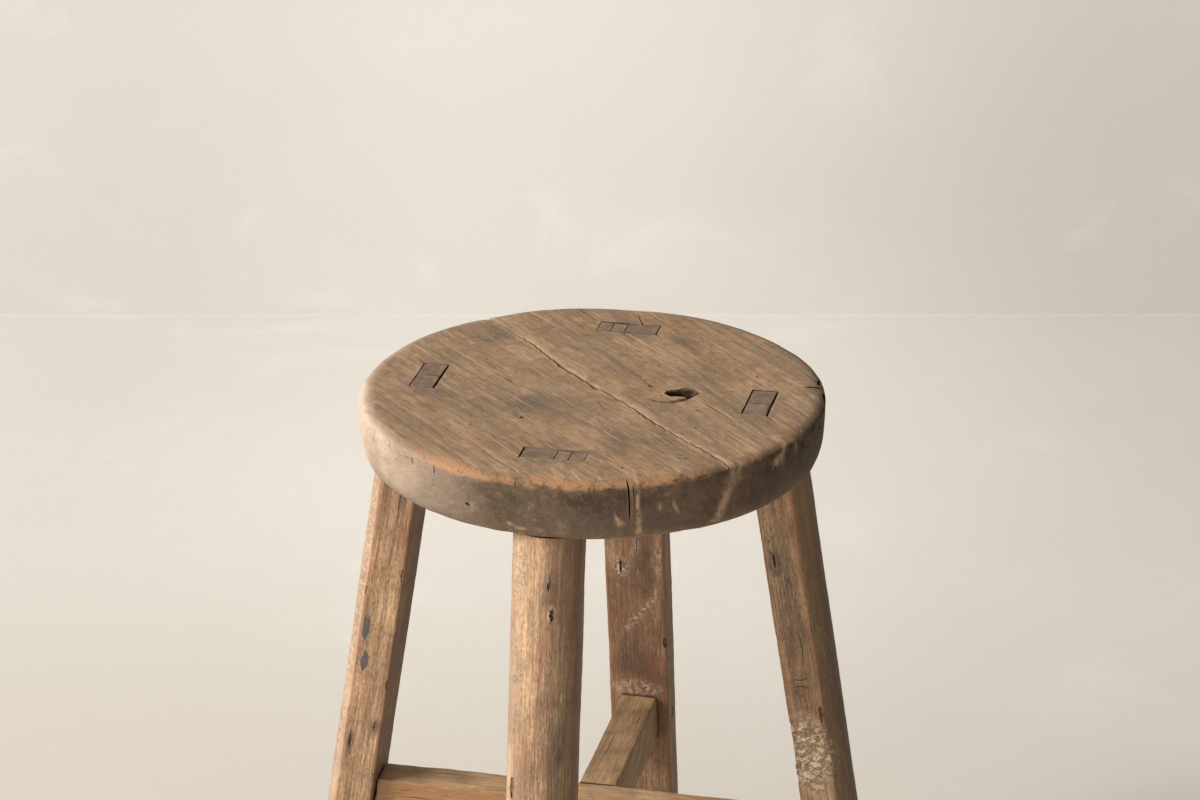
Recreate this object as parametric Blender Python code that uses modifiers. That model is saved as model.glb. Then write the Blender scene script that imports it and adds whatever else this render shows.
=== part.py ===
"""A round four-legged farm stool, built the way a village joiner builds one.

The seat is a thick round slab. Each leg ends in a tenon that runs up through the
seat and is spread by a wedge driven into its end. Two stretchers cross under the
seat in a half lap, their ends are tenoned into the legs, and a peg locks each end.
Metres, +Z up, origin on the floor under the middle of the seat.
"""

from math import asin, cos, pi, radians, sin, tan

import bmesh
import bpy

# Whole stool
STOOL_HEIGHT = 0.500
FIT_GAP = 0.0003  # left between pieces that touch
CUT_MARGIN = 0.010  # how far a cutter reaches past what it cuts
FLAT_ANGLE = radians(0.5)  # faces that meet at less than this are one flat face

# Seat: a slab with a worn upper edge and a full, rounded lower edge
SEAT_RADIUS = 0.145
SEAT_THICKNESS = 0.041
SEAT_WIDEST_DROP = 0.0065  # from the top down to the widest circle
SEAT_TOP_WEAR = 0.019  # how far in from the widest circle the top is worn down
SEAT_UNDERCUT = 0.012  # radius lost between the widest circle and the underside
UPPER_EDGE_POWER = 2.9  # 2 gives an elliptical edge, more a squarer one
LOWER_EDGE_POWER = 3.0
EDGE_STEPS = 7
SEAT_STEPS = 84

# Knot hole in the seat's top, and the split in its rim
KNOT_RADIUS = 0.055  # from the seat's axis
KNOT_AZIMUTH = radians(6)
KNOT_LENGTH = 0.023
KNOT_WIDTH = 0.014
KNOT_DEPTH = 0.009
SPLIT_AZIMUTH = radians(-68.7)
SPLIT_WIDTH = 0.0013
SPLIT_LENGTH = 0.014  # in from the rim
SPLIT_STOP = 0.010  # solid rim left under it

# Legs: flat inner face and sides, round outer face
LEG_SPLAY = radians(8.9)  # outwards from upright
LEG_INSET = 0.041  # from the seat's widest circle in to the inner face, at the underside
LEG_WIDTH = 0.041
LEG_SIDE_DEPTH = 0.023  # the flat part of each side
LEG_ROUNDING = 0.0095  # how far the outer face bulges past the flat sides
LEG_ARRIS = 0.0012
ARC_STEPS = 14

# Leg tenon, bare-faced: its inner cheek is the leg's inner face carried up
TENON_SIDE_SHOULDER = 0.00135  # cut off each side of the leg
TENON_THICKNESS = 0.0145
TENON_DROP = 0.0004  # end grain worn this far below the seat's top

# Wedges, each as wide as the joiner had to hand: how far it sits off the tenon's
# middle, and its thickness at the top
WEDGES = {
    "front": (0.0056, 0.0090),
    "right": (-0.0068, 0.0120),
    "back": (0.0057, 0.0095),
    "left": (0.0016, 0.0050),
}
WEDGE_TAPER = 0.3  # thickness at the point as a share of the thickness at the top
WEDGE_STOP = 0.008  # solid tenon left between the wedge's slot and the seat's underside

# Stretchers
STRETCHER_DROP = 0.283  # from the seat's top down to the stretchers' top
STRETCHER_WIDTH = 0.025
STRETCHER_HEIGHT = 0.035
STRETCHER_ARRIS = 0.0015
STRETCHER_TENON_WIDTH = 0.010
STRETCHER_TENON_SHOULDER = 0.005  # cut off above the tenon, and as much below
STRETCHER_TENON_STOP = 0.0085  # solid leg left outside the tenon's end

# Pegs across the stretchers' tenons
PEG_RADIUS = 0.003
PEG_SETBACK = 0.012  # from the leg's inner face to the peg's axis
PEG_RECESS = 0.0003  # how far each end stops short of the leg's side
PEG_SIDES = 24

# Where the legs stand, as the direction of each from the seat's axis
CORNERS = {"front": -pi / 2, "right": 0.0, "back": pi / 2, "left": pi}

# Levels that several pieces share
UNDERSIDE_Z = STOOL_HEIGHT - SEAT_THICKNESS
SHOULDER_Z = UNDERSIDE_Z - FIT_GAP
TENON_TOP_Z = STOOL_HEIGHT - TENON_DROP
STRETCHER_TOP_Z = STOOL_HEIGHT - STRETCHER_DROP
STRETCHER_MID_Z = STRETCHER_TOP_Z - STRETCHER_HEIGHT / 2

# Sizes that follow from what a piece fits into
LEG_DEPTH = LEG_SIDE_DEPTH + LEG_ROUNDING
TENON_WIDTH = LEG_WIDTH - 2 * TENON_SIDE_SHOULDER
STRETCHER_TENON_HEIGHT = STRETCHER_HEIGHT - 2 * STRETCHER_TENON_SHOULDER
STRETCHER_TENON_LENGTH = LEG_DEPTH - STRETCHER_TENON_STOP


def inner_face_x(z):
    """How far a leg's inner face is from the seat's axis, at height z."""
    return SEAT_RADIUS - LEG_INSET + (UNDERSIDE_Z - z) * tan(LEG_SPLAY)


def tenon_cheek_x(z):
    """How far a leg tenon's outer cheek is from the seat's axis, at height z."""
    return inner_face_x(z) + TENON_THICKNESS / cos(LEG_SPLAY)


# ---------------------------------------------------------------- modelling helpers


def new_collection(name):
    collection = bpy.data.collections.new(name)
    bpy.context.scene.collection.children.link(collection)
    return collection


def new_material(name, colour, roughness):
    material = bpy.data.materials.new(name)
    material.use_nodes = True
    shader = material.node_tree.nodes["Principled BSDF"]
    shader.inputs["Base Color"].default_value = (*colour, 1.0)
    shader.inputs["Roughness"].default_value = roughness
    shader.inputs["Metallic"].default_value = 0.0
    return material


def add_object(name, mesh, collection, parent=None):
    piece = bpy.data.objects.new(name, mesh)
    collection.objects.link(piece)
    piece.parent = parent
    if collection is cutters:
        piece.hide_render = True
        piece.display_type = "WIRE"
    return piece


def outline_mesh(name, outline, length):
    """The mesh of a flat outline, drawn in X and Y and thickened to length along Z."""
    curve = bpy.data.curves.new(name, "CURVE")
    curve.dimensions = "2D"
    curve.fill_mode = "BOTH"
    curve.extrude = length / 2
    spline = curve.splines.new("POLY")
    spline.points.add(len(outline) - 1)
    for point, (x, y) in zip(spline.points, outline):
        point.co = (x, y, 0.0, 1.0)
    spline.use_cyclic_u = True
    drawn = bpy.data.objects.new(name, curve)
    bpy.context.scene.collection.objects.link(drawn)
    depsgraph = bpy.context.evaluated_depsgraph_get()
    mesh = bpy.data.meshes.new_from_object(drawn.evaluated_get(depsgraph))
    bpy.data.objects.remove(drawn)
    bpy.data.curves.remove(curve)
    bm = bmesh.new()
    bm.from_mesh(mesh)
    bmesh.ops.remove_doubles(bm, verts=bm.verts, dist=0.00001)
    bmesh.ops.dissolve_limit(
        bm, angle_limit=FLAT_ANGLE, verts=bm.verts[:], edges=bm.edges[:], delimit={"NORMAL"}
    )
    bmesh.ops.recalc_face_normals(bm, faces=bm.faces)
    bm.to_mesh(mesh)
    bm.free()
    mesh.name = name
    return mesh


def side_prism(name, outline, width, collection, parent=None):
    """An outline in X and Z, given a width along Y."""
    piece = add_object(name, outline_mesh(name, outline, width), collection, parent)
    piece.rotation_euler = (pi / 2, 0.0, 0.0)
    return piece


def end_prism(name, outline, length, collection, parent=None):
    """An outline in Y and Z, given a length along X."""
    piece = add_object(name, outline_mesh(name, outline, length), collection, parent)
    piece.rotation_euler = (pi / 2, 0.0, pi / 2)
    return piece


def box(name, low, high, collection, parent=None):
    """A box between two opposite corners."""
    mesh = bpy.data.meshes.new(name)
    bm = bmesh.new()
    bmesh.ops.create_cube(bm, size=1.0)
    size = [b - a for a, b in zip(low, high)]
    bmesh.ops.scale(bm, vec=size, verts=bm.verts)
    bm.to_mesh(mesh)
    bm.free()
    piece = add_object(name, mesh, collection, parent)
    piece.location = [(a + b) / 2 for a, b in zip(low, high)]
    return piece


def cross_rod(name, radius, length, collection, parent=None):
    """A round rod that lies along Y."""
    mesh = bpy.data.meshes.new(name)
    bm = bmesh.new()
    bmesh.ops.create_cone(
        bm, cap_ends=True, segments=PEG_SIDES, radius1=radius, radius2=radius, depth=length
    )
    bm.to_mesh(mesh)
    bm.free()
    piece = add_object(name, mesh, collection, parent)
    piece.rotation_euler = (pi / 2, 0.0, 0.0)
    return piece


def combine(piece, operation, other):
    """Cut, keep or join a piece with another solid."""
    modifier = piece.modifiers.new(other.name, "BOOLEAN")
    modifier.operation = operation
    modifier.solver = "EXACT"
    modifier.object = other


def break_edges(piece, width):
    """A small flat along every sharp edge."""
    modifier = piece.modifiers.new("arris", "BEVEL")
    modifier.width = width
    modifier.segments = 1
    modifier.limit_method = "ANGLE"
    modifier.angle_limit = radians(50)


def smooth_round_faces(piece):
    piece.data.shade_smooth()
    piece.data.set_sharp_from_angle(angle=radians(30))


# ---------------------------------------------------------------- seat


def edge_curve(corner, run, rise, power, start, stop):
    """Points of a rounded edge about a corner, from angle start to angle stop."""
    x0, z0 = corner
    points = []
    for step in range(EDGE_STEPS + 1):
        angle = start + (stop - start) * step / EDGE_STEPS
        x = x0 + run * abs(cos(angle)) ** (2 / power)
        z = z0 + rise * abs(sin(angle)) ** (2 / power)
        points.append((x, z))
    return points


def seat_profile():
    """Half of the slab's section, from the middle of the top down to the underside."""
    widest_z = STOOL_HEIGHT - SEAT_WIDEST_DROP
    top_corner = (SEAT_RADIUS - SEAT_TOP_WEAR, widest_z)
    low_corner = (SEAT_RADIUS - SEAT_UNDERCUT, widest_z)
    upper = edge_curve(
        top_corner, SEAT_TOP_WEAR, SEAT_WIDEST_DROP, UPPER_EDGE_POWER, pi / 2, 0.0
    )
    lower = edge_curve(
        low_corner, SEAT_UNDERCUT, UNDERSIDE_Z - widest_z, LOWER_EDGE_POWER, 0.0, pi / 2
    )
    return [(0.0, STOOL_HEIGHT), *upper, *lower[1:], (0.0, UNDERSIDE_Z)]


def make_seat():
    mesh = bpy.data.meshes.new("seat")
    bm = bmesh.new()
    points = [bm.verts.new((x, 0.0, z)) for x, z in seat_profile()]
    for above, below in zip(points, points[1:]):
        bm.edges.new((above, below))
    bm.to_mesh(mesh)
    bm.free()
    seat = add_object("seat", mesh, parts)
    turn = seat.modifiers.new("turn", "SCREW")
    turn.steps = SEAT_STEPS
    turn.render_steps = SEAT_STEPS
    turn.use_merge_vertices = True
    turn.merge_threshold = 0.00001
    turn.use_smooth_shade = True
    return seat


def make_knot_hole():
    """The hollow that a loose knot left, a little over half an egg deep."""
    mesh = bpy.data.meshes.new("knot_hole")
    bm = bmesh.new()
    bmesh.ops.create_uvsphere(bm, u_segments=20, v_segments=10, radius=0.5)
    bmesh.ops.scale(bm, vec=(KNOT_LENGTH, KNOT_WIDTH, 2 * KNOT_DEPTH), verts=bm.verts)
    bm.to_mesh(mesh)
    bm.free()
    hole = add_object("knot_hole", mesh, cutters)
    hole.location = (
        KNOT_RADIUS * cos(KNOT_AZIMUTH),
        KNOT_RADIUS * sin(KNOT_AZIMUTH),
        STOOL_HEIGHT,
    )
    return hole


def make_rim_split():
    """A drying check that runs in from the rim and dies out above the underside."""
    low = (SEAT_RADIUS - SPLIT_LENGTH, -SPLIT_WIDTH / 2, UNDERSIDE_Z + SPLIT_STOP)
    high = (SEAT_RADIUS + CUT_MARGIN, SPLIT_WIDTH / 2, STOOL_HEIGHT + CUT_MARGIN)
    place = bpy.data.objects.new("rim_split_place", None)
    cutters.objects.link(place)
    place.rotation_euler = (0.0, 0.0, SPLIT_AZIMUTH)
    return box("rim_split", low, high, cutters, place)


def make_seat_mortise(corner):
    """The slanting hole that a leg's tenon runs up through."""
    low = UNDERSIDE_Z - CUT_MARGIN
    high = STOOL_HEIGHT + CUT_MARGIN
    outline = [
        (inner_face_x(low) - FIT_GAP, low),
        (tenon_cheek_x(low) + FIT_GAP, low),
        (tenon_cheek_x(high) + FIT_GAP, high),
        (inner_face_x(high) - FIT_GAP, high),
    ]
    name = corner.name + "_seat_mortise"
    return side_prism(name, outline, TENON_WIDTH + 2 * FIT_GAP, cutters, corner)


# ---------------------------------------------------------------- legs


def leg_outline():
    """The leg's section: X out from its inner face, Y across it."""
    half = LEG_WIDTH / 2
    arc_radius = (half**2 + LEG_ROUNDING**2) / (2 * LEG_ROUNDING)
    centre_x = LEG_DEPTH - arc_radius
    half_angle = asin(half / arc_radius)
    outline = [(0.0, half), (0.0, -half)]
    for step in range(ARC_STEPS + 1):
        angle = half_angle * (2 * step / ARC_STEPS - 1)
        outline.append((centre_x + arc_radius * cos(angle), arc_radius * sin(angle)))
    return outline


def make_leg_blank(corner, name):
    """A leg before its ends are cut, leaning outwards."""
    length = 2 * STOOL_HEIGHT
    leg = add_object("leg_" + name, outline_mesh(name, leg_outline(), length), parts, corner)
    leg.location = (inner_face_x(STOOL_HEIGHT / 2), 0.0, STOOL_HEIGHT / 2)
    leg.rotation_euler = (0.0, -LEG_SPLAY, 0.0)
    smooth_round_faces(leg)
    break_edges(leg, LEG_ARRIS)
    return leg


def make_leg_envelope(corner):
    """What is kept of the blank: all of it up to the shoulder, and the tenon above."""
    outside = inner_face_x(0.0) + LEG_DEPTH + 2 * CUT_MARGIN
    inside = inner_face_x(TENON_TOP_Z) - 2 * CUT_MARGIN
    half = LEG_WIDTH / 2 + CUT_MARGIN
    envelope = box(
        corner.name + "_leg_envelope",
        (inside, -half, 0.0),
        (outside, half, SHOULDER_Z),
        cutters,
        corner,
    )
    low = SHOULDER_Z - CUT_MARGIN
    outline = [
        (inner_face_x(low) - CUT_MARGIN, low),
        (tenon_cheek_x(low), low),
        (tenon_cheek_x(TENON_TOP_Z), TENON_TOP_Z),
        (inner_face_x(TENON_TOP_Z) - CUT_MARGIN, TENON_TOP_Z),
    ]
    tenon = side_prism(corner.name + "_leg_tenon", outline, TENON_WIDTH, cutters, corner)
    combine(envelope, "UNION", tenon)
    return envelope


def make_leg_mortise(corner):
    """The hole in a leg's inner face that takes a stretcher's tenon."""
    half_width = STRETCHER_TENON_WIDTH / 2 + FIT_GAP
    half_height = STRETCHER_TENON_HEIGHT / 2 + FIT_GAP
    face = inner_face_x(STRETCHER_MID_Z)
    low = (face - CUT_MARGIN, -half_width, STRETCHER_MID_Z - half_height)
    high = (
        face + STRETCHER_TENON_LENGTH + FIT_GAP,
        half_width,
        STRETCHER_MID_Z + half_height,
    )
    return box(corner.name + "_leg_mortise", low, high, cutters, corner)


# ---------------------------------------------------------------- wedges


def wedge_outline(offset, thickness, clearance, top):
    """A wedge seen along X, grown by a clearance and ending at height top."""
    point_z = UNDERSIDE_Z + WEDGE_STOP
    taper = thickness * (1 - WEDGE_TAPER) / (TENON_TOP_Z - point_z)

    def half(z):
        return (thickness - taper * (TENON_TOP_Z - z)) / 2 + clearance

    low = point_z - clearance
    return [
        (offset - half(low), low),
        (offset + half(low), low),
        (offset + half(top), top),
        (offset - half(top), top),
    ]


def make_wedge(corner, name):
    """A wedge as wide as the tenon is thick, cut off level with the tenon's end."""
    low = UNDERSIDE_Z
    outline = [
        (inner_face_x(low), low),
        (tenon_cheek_x(low), low),
        (tenon_cheek_x(TENON_TOP_Z), TENON_TOP_Z),
        (inner_face_x(TENON_TOP_Z), TENON_TOP_Z),
    ]
    wedge = side_prism("wedge_" + name, outline, LEG_WIDTH, parts, corner)
    offset, thickness = WEDGES[name]
    sides = wedge_outline(offset, thickness, 0.0, STOOL_HEIGHT + CUT_MARGIN)
    length = 2 * (SEAT_RADIUS + CUT_MARGIN)
    taper = end_prism(corner.name + "_wedge_sides", sides, length, cutters, corner)
    combine(wedge, "INTERSECT", taper)
    return wedge


def make_wedge_slot(corner, name):
    """The slot that the wedge opens in the tenon's end."""
    offset, thickness = WEDGES[name]
    sides = wedge_outline(offset, thickness, FIT_GAP, STOOL_HEIGHT + CUT_MARGIN)
    length = 2 * (SEAT_RADIUS + CUT_MARGIN)
    return end_prism(corner.name + "_wedge_slot", sides, length, cutters, corner)


# ---------------------------------------------------------------- stretchers and pegs


def make_stretcher(name, azimuth):
    """A rail whose ends slant with the legs' inner faces, with a tenon past each."""
    bottom = STRETCHER_TOP_Z - STRETCHER_HEIGHT
    bottom_end = inner_face_x(bottom) - FIT_GAP
    top_end = inner_face_x(STRETCHER_TOP_Z) - FIT_GAP
    outline = [
        (-bottom_end, bottom),
        (bottom_end, bottom),
        (top_end, STRETCHER_TOP_Z),
        (-top_end, STRETCHER_TOP_Z),
    ]
    place = bpy.data.objects.new(name + "_place", None)
    parts.objects.link(place)
    place.rotation_euler = (0.0, 0.0, azimuth)
    stretcher = side_prism(name, outline, STRETCHER_WIDTH, parts, place)
    break_edges(stretcher, STRETCHER_ARRIS)
    reach = inner_face_x(STRETCHER_MID_Z) + STRETCHER_TENON_LENGTH
    half_width = STRETCHER_TENON_WIDTH / 2
    half_height = STRETCHER_TENON_HEIGHT / 2
    tenons = box(
        name + "_tenons",
        (-reach, -half_width, STRETCHER_MID_Z - half_height),
        (reach, half_width, STRETCHER_MID_Z + half_height),
        cutters,
        place,
    )
    combine(stretcher, "UNION", tenons)
    return stretcher, place


def make_lap_notch(name, low, high, place):
    """Half of the half lap: a notch across the middle of a stretcher."""
    half = STRETCHER_WIDTH / 2 + FIT_GAP
    reach = STRETCHER_WIDTH / 2 + CUT_MARGIN
    return box(name, (-half, -reach, low), (half, reach, high), cutters, place)


def place_on_peg_axis(piece):
    x = inner_face_x(STRETCHER_MID_Z) + PEG_SETBACK
    piece.location = (x, 0.0, STRETCHER_MID_Z)


def make_peg(corner, name):
    """A round peg driven through the leg and the stretcher's tenon."""
    length = LEG_WIDTH - 2 * PEG_RECESS
    peg = cross_rod("peg_" + name, PEG_RADIUS, length, parts, corner)
    place_on_peg_axis(peg)
    smooth_round_faces(peg)
    return peg


def make_peg_hole(corner):
    length = LEG_WIDTH + 2 * CUT_MARGIN
    hole = cross_rod(corner.name + "_peg_hole", PEG_RADIUS + FIT_GAP, length, cutters, corner)
    place_on_peg_axis(hole)
    return hole


# ---------------------------------------------------------------- the stool

for old in list(bpy.data.objects):
    bpy.data.objects.remove(old)

parts = new_collection("round_stool")
cutters = new_collection("cutters")

seat_wood = new_material("seat_wood", (0.250, 0.155, 0.092), 0.55)
leg_wood = new_material("leg_wood", (0.270, 0.160, 0.095), 0.60)
wedge_wood = new_material("wedge_wood", (0.310, 0.215, 0.140), 0.70)
stretcher_wood = new_material("stretcher_wood", (0.340, 0.220, 0.130), 0.65)
peg_wood = new_material("peg_wood", (0.380, 0.260, 0.150), 0.60)

seat = make_seat()
seat.data.materials.append(seat_wood)
combine(seat, "DIFFERENCE", make_knot_hole())
combine(seat, "DIFFERENCE", make_rim_split())

# The side stretcher is whole on top and notched from below, the other the reverse.
side_stretcher, side_place = make_stretcher("stretcher_side", 0.0)
cross_stretcher, cross_place = make_stretcher("stretcher_cross", pi / 2)
below_z = STRETCHER_TOP_Z - STRETCHER_HEIGHT - CUT_MARGIN
above_z = STRETCHER_TOP_Z + CUT_MARGIN
side_notch_z = STRETCHER_MID_Z + FIT_GAP / 2
cross_notch_z = STRETCHER_MID_Z - FIT_GAP / 2
side_notch = make_lap_notch("side_notch", below_z, side_notch_z, side_place)
cross_notch = make_lap_notch("cross_notch", cross_notch_z, above_z, cross_place)
combine(side_stretcher, "DIFFERENCE", side_notch)
combine(cross_stretcher, "DIFFERENCE", cross_notch)
for stretcher in (side_stretcher, cross_stretcher):
    stretcher.data.materials.append(stretcher_wood)

for name, azimuth in CORNERS.items():
    corner = bpy.data.objects.new(name, None)
    parts.objects.link(corner)
    corner.rotation_euler = (0.0, 0.0, azimuth)

    combine(seat, "DIFFERENCE", make_seat_mortise(corner))

    leg = make_leg_blank(corner, name)
    leg.data.materials.append(leg_wood)
    combine(leg, "INTERSECT", make_leg_envelope(corner))
    combine(leg, "DIFFERENCE", make_wedge_slot(corner, name))
    combine(leg, "DIFFERENCE", make_leg_mortise(corner))
    peg_hole = make_peg_hole(corner)
    combine(leg, "DIFFERENCE", peg_hole)

    wedge = make_wedge(corner, name)
    wedge.data.materials.append(wedge_wood)

    peg = make_peg(corner, name)
    peg.data.materials.append(peg_wood)
    stretcher = side_stretcher if name in ("left", "right") else cross_stretcher
    combine(stretcher, "DIFFERENCE", peg_hole)
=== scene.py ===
from math import atan2, cos, degrees, exp, hypot, pi, radians, sin, tan

import bpy
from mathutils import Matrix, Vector


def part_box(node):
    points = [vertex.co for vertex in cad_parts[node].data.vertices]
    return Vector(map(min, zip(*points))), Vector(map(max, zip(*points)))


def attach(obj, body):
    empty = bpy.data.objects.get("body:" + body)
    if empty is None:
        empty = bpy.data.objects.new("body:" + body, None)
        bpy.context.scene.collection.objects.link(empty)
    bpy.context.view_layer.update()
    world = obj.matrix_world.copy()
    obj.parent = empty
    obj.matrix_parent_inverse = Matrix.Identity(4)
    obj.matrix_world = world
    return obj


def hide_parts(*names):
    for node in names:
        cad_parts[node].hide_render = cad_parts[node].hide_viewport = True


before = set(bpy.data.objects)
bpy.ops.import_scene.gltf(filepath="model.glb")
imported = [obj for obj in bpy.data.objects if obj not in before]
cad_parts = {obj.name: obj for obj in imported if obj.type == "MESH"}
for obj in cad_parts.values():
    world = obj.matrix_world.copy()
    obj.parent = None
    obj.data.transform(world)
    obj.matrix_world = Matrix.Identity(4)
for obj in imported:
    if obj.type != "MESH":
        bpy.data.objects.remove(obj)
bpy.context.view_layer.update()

# An old round elm stool: a worn slab seat, four splayed legs with wedged through tenons,
# and crossed, half-lapped stretchers held by pegs. Metres, +Z up, origin on the floor.

# ------------------------------------------------------------------------------------
# Seat. One thick slab of old elm, sawn round and worn at the rim by use. A long drying
# crack crosses it between two pairs of legs, a loose knot has fallen out of its top, and
# the rim has split at the front.

MM = 0.001
seat_low, seat_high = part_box("seat")
SEAT_RADIUS = seat_high.x
SEAT_TOP = seat_high.z
SEAT_UNDER = seat_low.z
SEAT_SIDES = 480
SEAT_WIDEST_DROP = 6.5 * MM
SEAT_TOP_WEAR = 19.0 * MM
SEAT_UNDERCUT = 12.0 * MM
UPPER_EDGE_POWER = 2.9
LOWER_EDGE_POWER = 3.0
RIM_STEPS = 14


def put_down_everything():
    """Back to object mode with nothing selected."""
    if bpy.context.object and bpy.context.object.mode != "OBJECT":
        bpy.ops.object.mode_set(mode="OBJECT")
    bpy.ops.object.select_all(action="DESELECT")


def pick_up(*pieces):
    """Selects these pieces only, with the first one active."""
    put_down_everything()
    for piece in pieces:
        piece.select_set(True)
    bpy.context.view_layer.objects.active = pieces[0]


def name_new(name):
    """The piece that was just added, named."""
    piece = bpy.context.object
    piece.name = name
    piece.data.name = name
    return piece


def edit(piece):
    """Edit mode on a piece, with nothing of it selected."""
    pick_up(piece)
    bpy.ops.object.mode_set(mode="EDIT")
    bpy.ops.mesh.select_all(action="DESELECT")


def choose(piece, mode, test):
    """In edit mode, selects the vertices, edges or faces that pass a test."""
    bpy.ops.mesh.select_all(action="DESELECT")
    bpy.ops.mesh.select_mode(type=mode)
    bpy.ops.object.mode_set(mode="OBJECT")
    mesh = piece.data
    if mode == "VERT":
        for vertex in mesh.vertices:
            vertex.select = test(vertex.co)
    elif mode == "EDGE":
        for line in mesh.edges:
            a, b = (mesh.vertices[i].co for i in line.vertices)
            line.select = test(a, b)
    else:
        for face in mesh.polygons:
            face.select = test(face.center, face.normal)
    bpy.ops.object.mode_set(mode="EDIT")


def settle(piece):
    """Moves the object's place and turn into its mesh."""
    pick_up(piece)
    bpy.ops.object.transform_apply(location=True, rotation=True, scale=True)


def use_modifier(piece, kind, **settings):
    """Adds a modifier, sets it up and applies it."""
    modifier = piece.modifiers.new(kind.lower(), kind)
    for name, value in settings.items():
        setattr(modifier, name, value)
    pick_up(piece)
    bpy.ops.object.modifier_apply(modifier=modifier.name)


def cut_away(piece, *tools):
    """Cuts the shape of some tools out of a piece and throws them away."""
    pick_up(*tools)
    if len(tools) > 1:
        bpy.ops.object.join()
    tool = bpy.context.object
    use_modifier(piece, "BOOLEAN", operation="DIFFERENCE", solver="EXACT", object=tool)
    bpy.data.objects.remove(tool)


def roughen(piece, size, depth, rest=0.72, group=""):
    """Lets the surface wander over lumps of a size, mostly inwards."""
    lumps = bpy.data.textures.new("lumps", "CLOUDS")
    lumps.noise_scale = size
    lumps.noise_depth = 2
    use_modifier(
        piece,
        "DISPLACE",
        texture=lumps,
        texture_coords="LOCAL",
        strength=depth,
        mid_level=rest,
        vertex_group=group,
    )


def rim_outline():
    """The rim's outline from the underside up to the flat top, as radius and height."""
    widest_z = SEAT_TOP - SEAT_WIDEST_DROP
    outline = []
    for step in range(RIM_STEPS + 1):
        turn = pi / 2 * (1 - step / RIM_STEPS)
        out = SEAT_RADIUS - SEAT_UNDERCUT * (1 - cos(turn) ** (2 / LOWER_EDGE_POWER))
        drop = (widest_z - SEAT_UNDER) * sin(turn) ** (2 / LOWER_EDGE_POWER)
        outline.append((out, widest_z - drop))
    for step in range(1, RIM_STEPS + 1):
        turn = pi / 2 * step / RIM_STEPS
        inwards = SEAT_TOP_WEAR * (1 - cos(turn) ** (2 / UPPER_EDGE_POWER))
        rise = SEAT_WIDEST_DROP * sin(turn) ** (2 / UPPER_EDGE_POWER)
        outline.append((SEAT_RADIUS - inwards, widest_z + rise))
    return outline


outline = rim_outline()
put_down_everything()
bpy.ops.mesh.primitive_circle_add(
    vertices=SEAT_SIDES, radius=outline[0][0], location=(0, 0, outline[0][1])
)
seat = name_new("worn_seat")
bpy.ops.object.mode_set(mode="EDIT")
for (last_radius, last_z), (radius, z) in zip(outline, outline[1:]):
    bpy.ops.mesh.extrude_region_move(TRANSFORM_OT_translate={"value": (0, 0, z - last_z)})
    share = radius / last_radius
    bpy.ops.transform.resize(value=(share, share, 1), center_override=(0, 0, z))
bpy.ops.mesh.fill_grid(span=SEAT_SIDES // 4)
settle(seat)
edit(seat)
choose(seat, "VERT", lambda co: co.z < SEAT_UNDER + 0.01 * MM)
bpy.ops.mesh.fill_grid(span=SEAT_SIDES // 4)
bpy.ops.mesh.select_all(action="SELECT")
bpy.ops.mesh.normals_make_consistent(inside=False)
bpy.ops.object.mode_set(mode="OBJECT")

# The plane left low swells and hollows, and hands and knocks have softened the rim. No
# point is left standing above the slab's faces or outside its rim.
roughen(seat, 60 * MM, 1.6 * MM)
roughen(seat, 14 * MM, 0.6 * MM)
for vertex in seat.data.vertices:
    vertex.co.z = max(SEAT_UNDER, min(SEAT_TOP, vertex.co.z))
    over = hypot(vertex.co.x, vertex.co.y) / SEAT_RADIUS
    if over > 1:
        vertex.co.x /= over
        vertex.co.y /= over

# The long crack, from the back left rim to the front right one, as X, Y and width in
# millimetres. Its front left lip has sunk a little below the other.
LONG_CRACK = [
    (-96, 110, 0.5), (-85, 98, 0.7), (-62, 73.5, 0.7), (-48, 58.5, 0.9), (-40, 47.5, 0.9),
    (-32, 38.5, 1.5), (-26.9, 30.7, 2.0), (-19.2, 23.2, 1.8), (-11.5, 15.3, 1.4),
    (-5, 8.5, 0.9), (-0.1, 3.8, 1.9), (3.5, 0.7, 0.8), (14.6, -8.7, 1.0), (26, -19.7, 0.8),
    (34.3, -28.6, 1.1), (42, -37.7, 1.4), (49.4, -45.9, 1.0), (59.7, -55.8, 0.8),
    (74, -68.9, 0.8), (86, -79.6, 0.9), (100.8, -92.5, 1.0), (107, -100, 1.4),
    (114, -106, 1.6),
]
LIP_SINK = 0.9 * MM
LIP_REACH = 14 * MM


def off_the_crack(x, y):
    """How far a point is to the front left of the long crack; behind it is minus."""
    nearest = 1.0
    here = Vector((x, y))
    for (ax, ay, _), (bx, by, _) in zip(LONG_CRACK, LONG_CRACK[1:]):
        a = Vector((ax, ay)) * MM
        run = Vector((bx, by)) * MM - a
        along = max(0.0, min(1.0, (here - a).dot(run) / run.length_squared))
        off = here - (a + run * along)
        if off.length < abs(nearest):
            nearest = off.length if run.x * off.y - run.y * off.x < 0 else -off.length
    return nearest


sunken = seat.vertex_groups.new(name="sunken_lip")
for vertex in seat.data.vertices:
    if vertex.co.z > SEAT_TOP - 12 * MM:
        off = off_the_crack(vertex.co.x, vertex.co.y)
        if 0 <= off < LIP_REACH:
            sunken.add([vertex.index], (1 - off / LIP_REACH) ** 2, "REPLACE")
use_modifier(
    seat, "DISPLACE", direction="Z", strength=-LIP_SINK, mid_level=0, vertex_group="sunken_lip"
)
seat.vertex_groups.clear()


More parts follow.
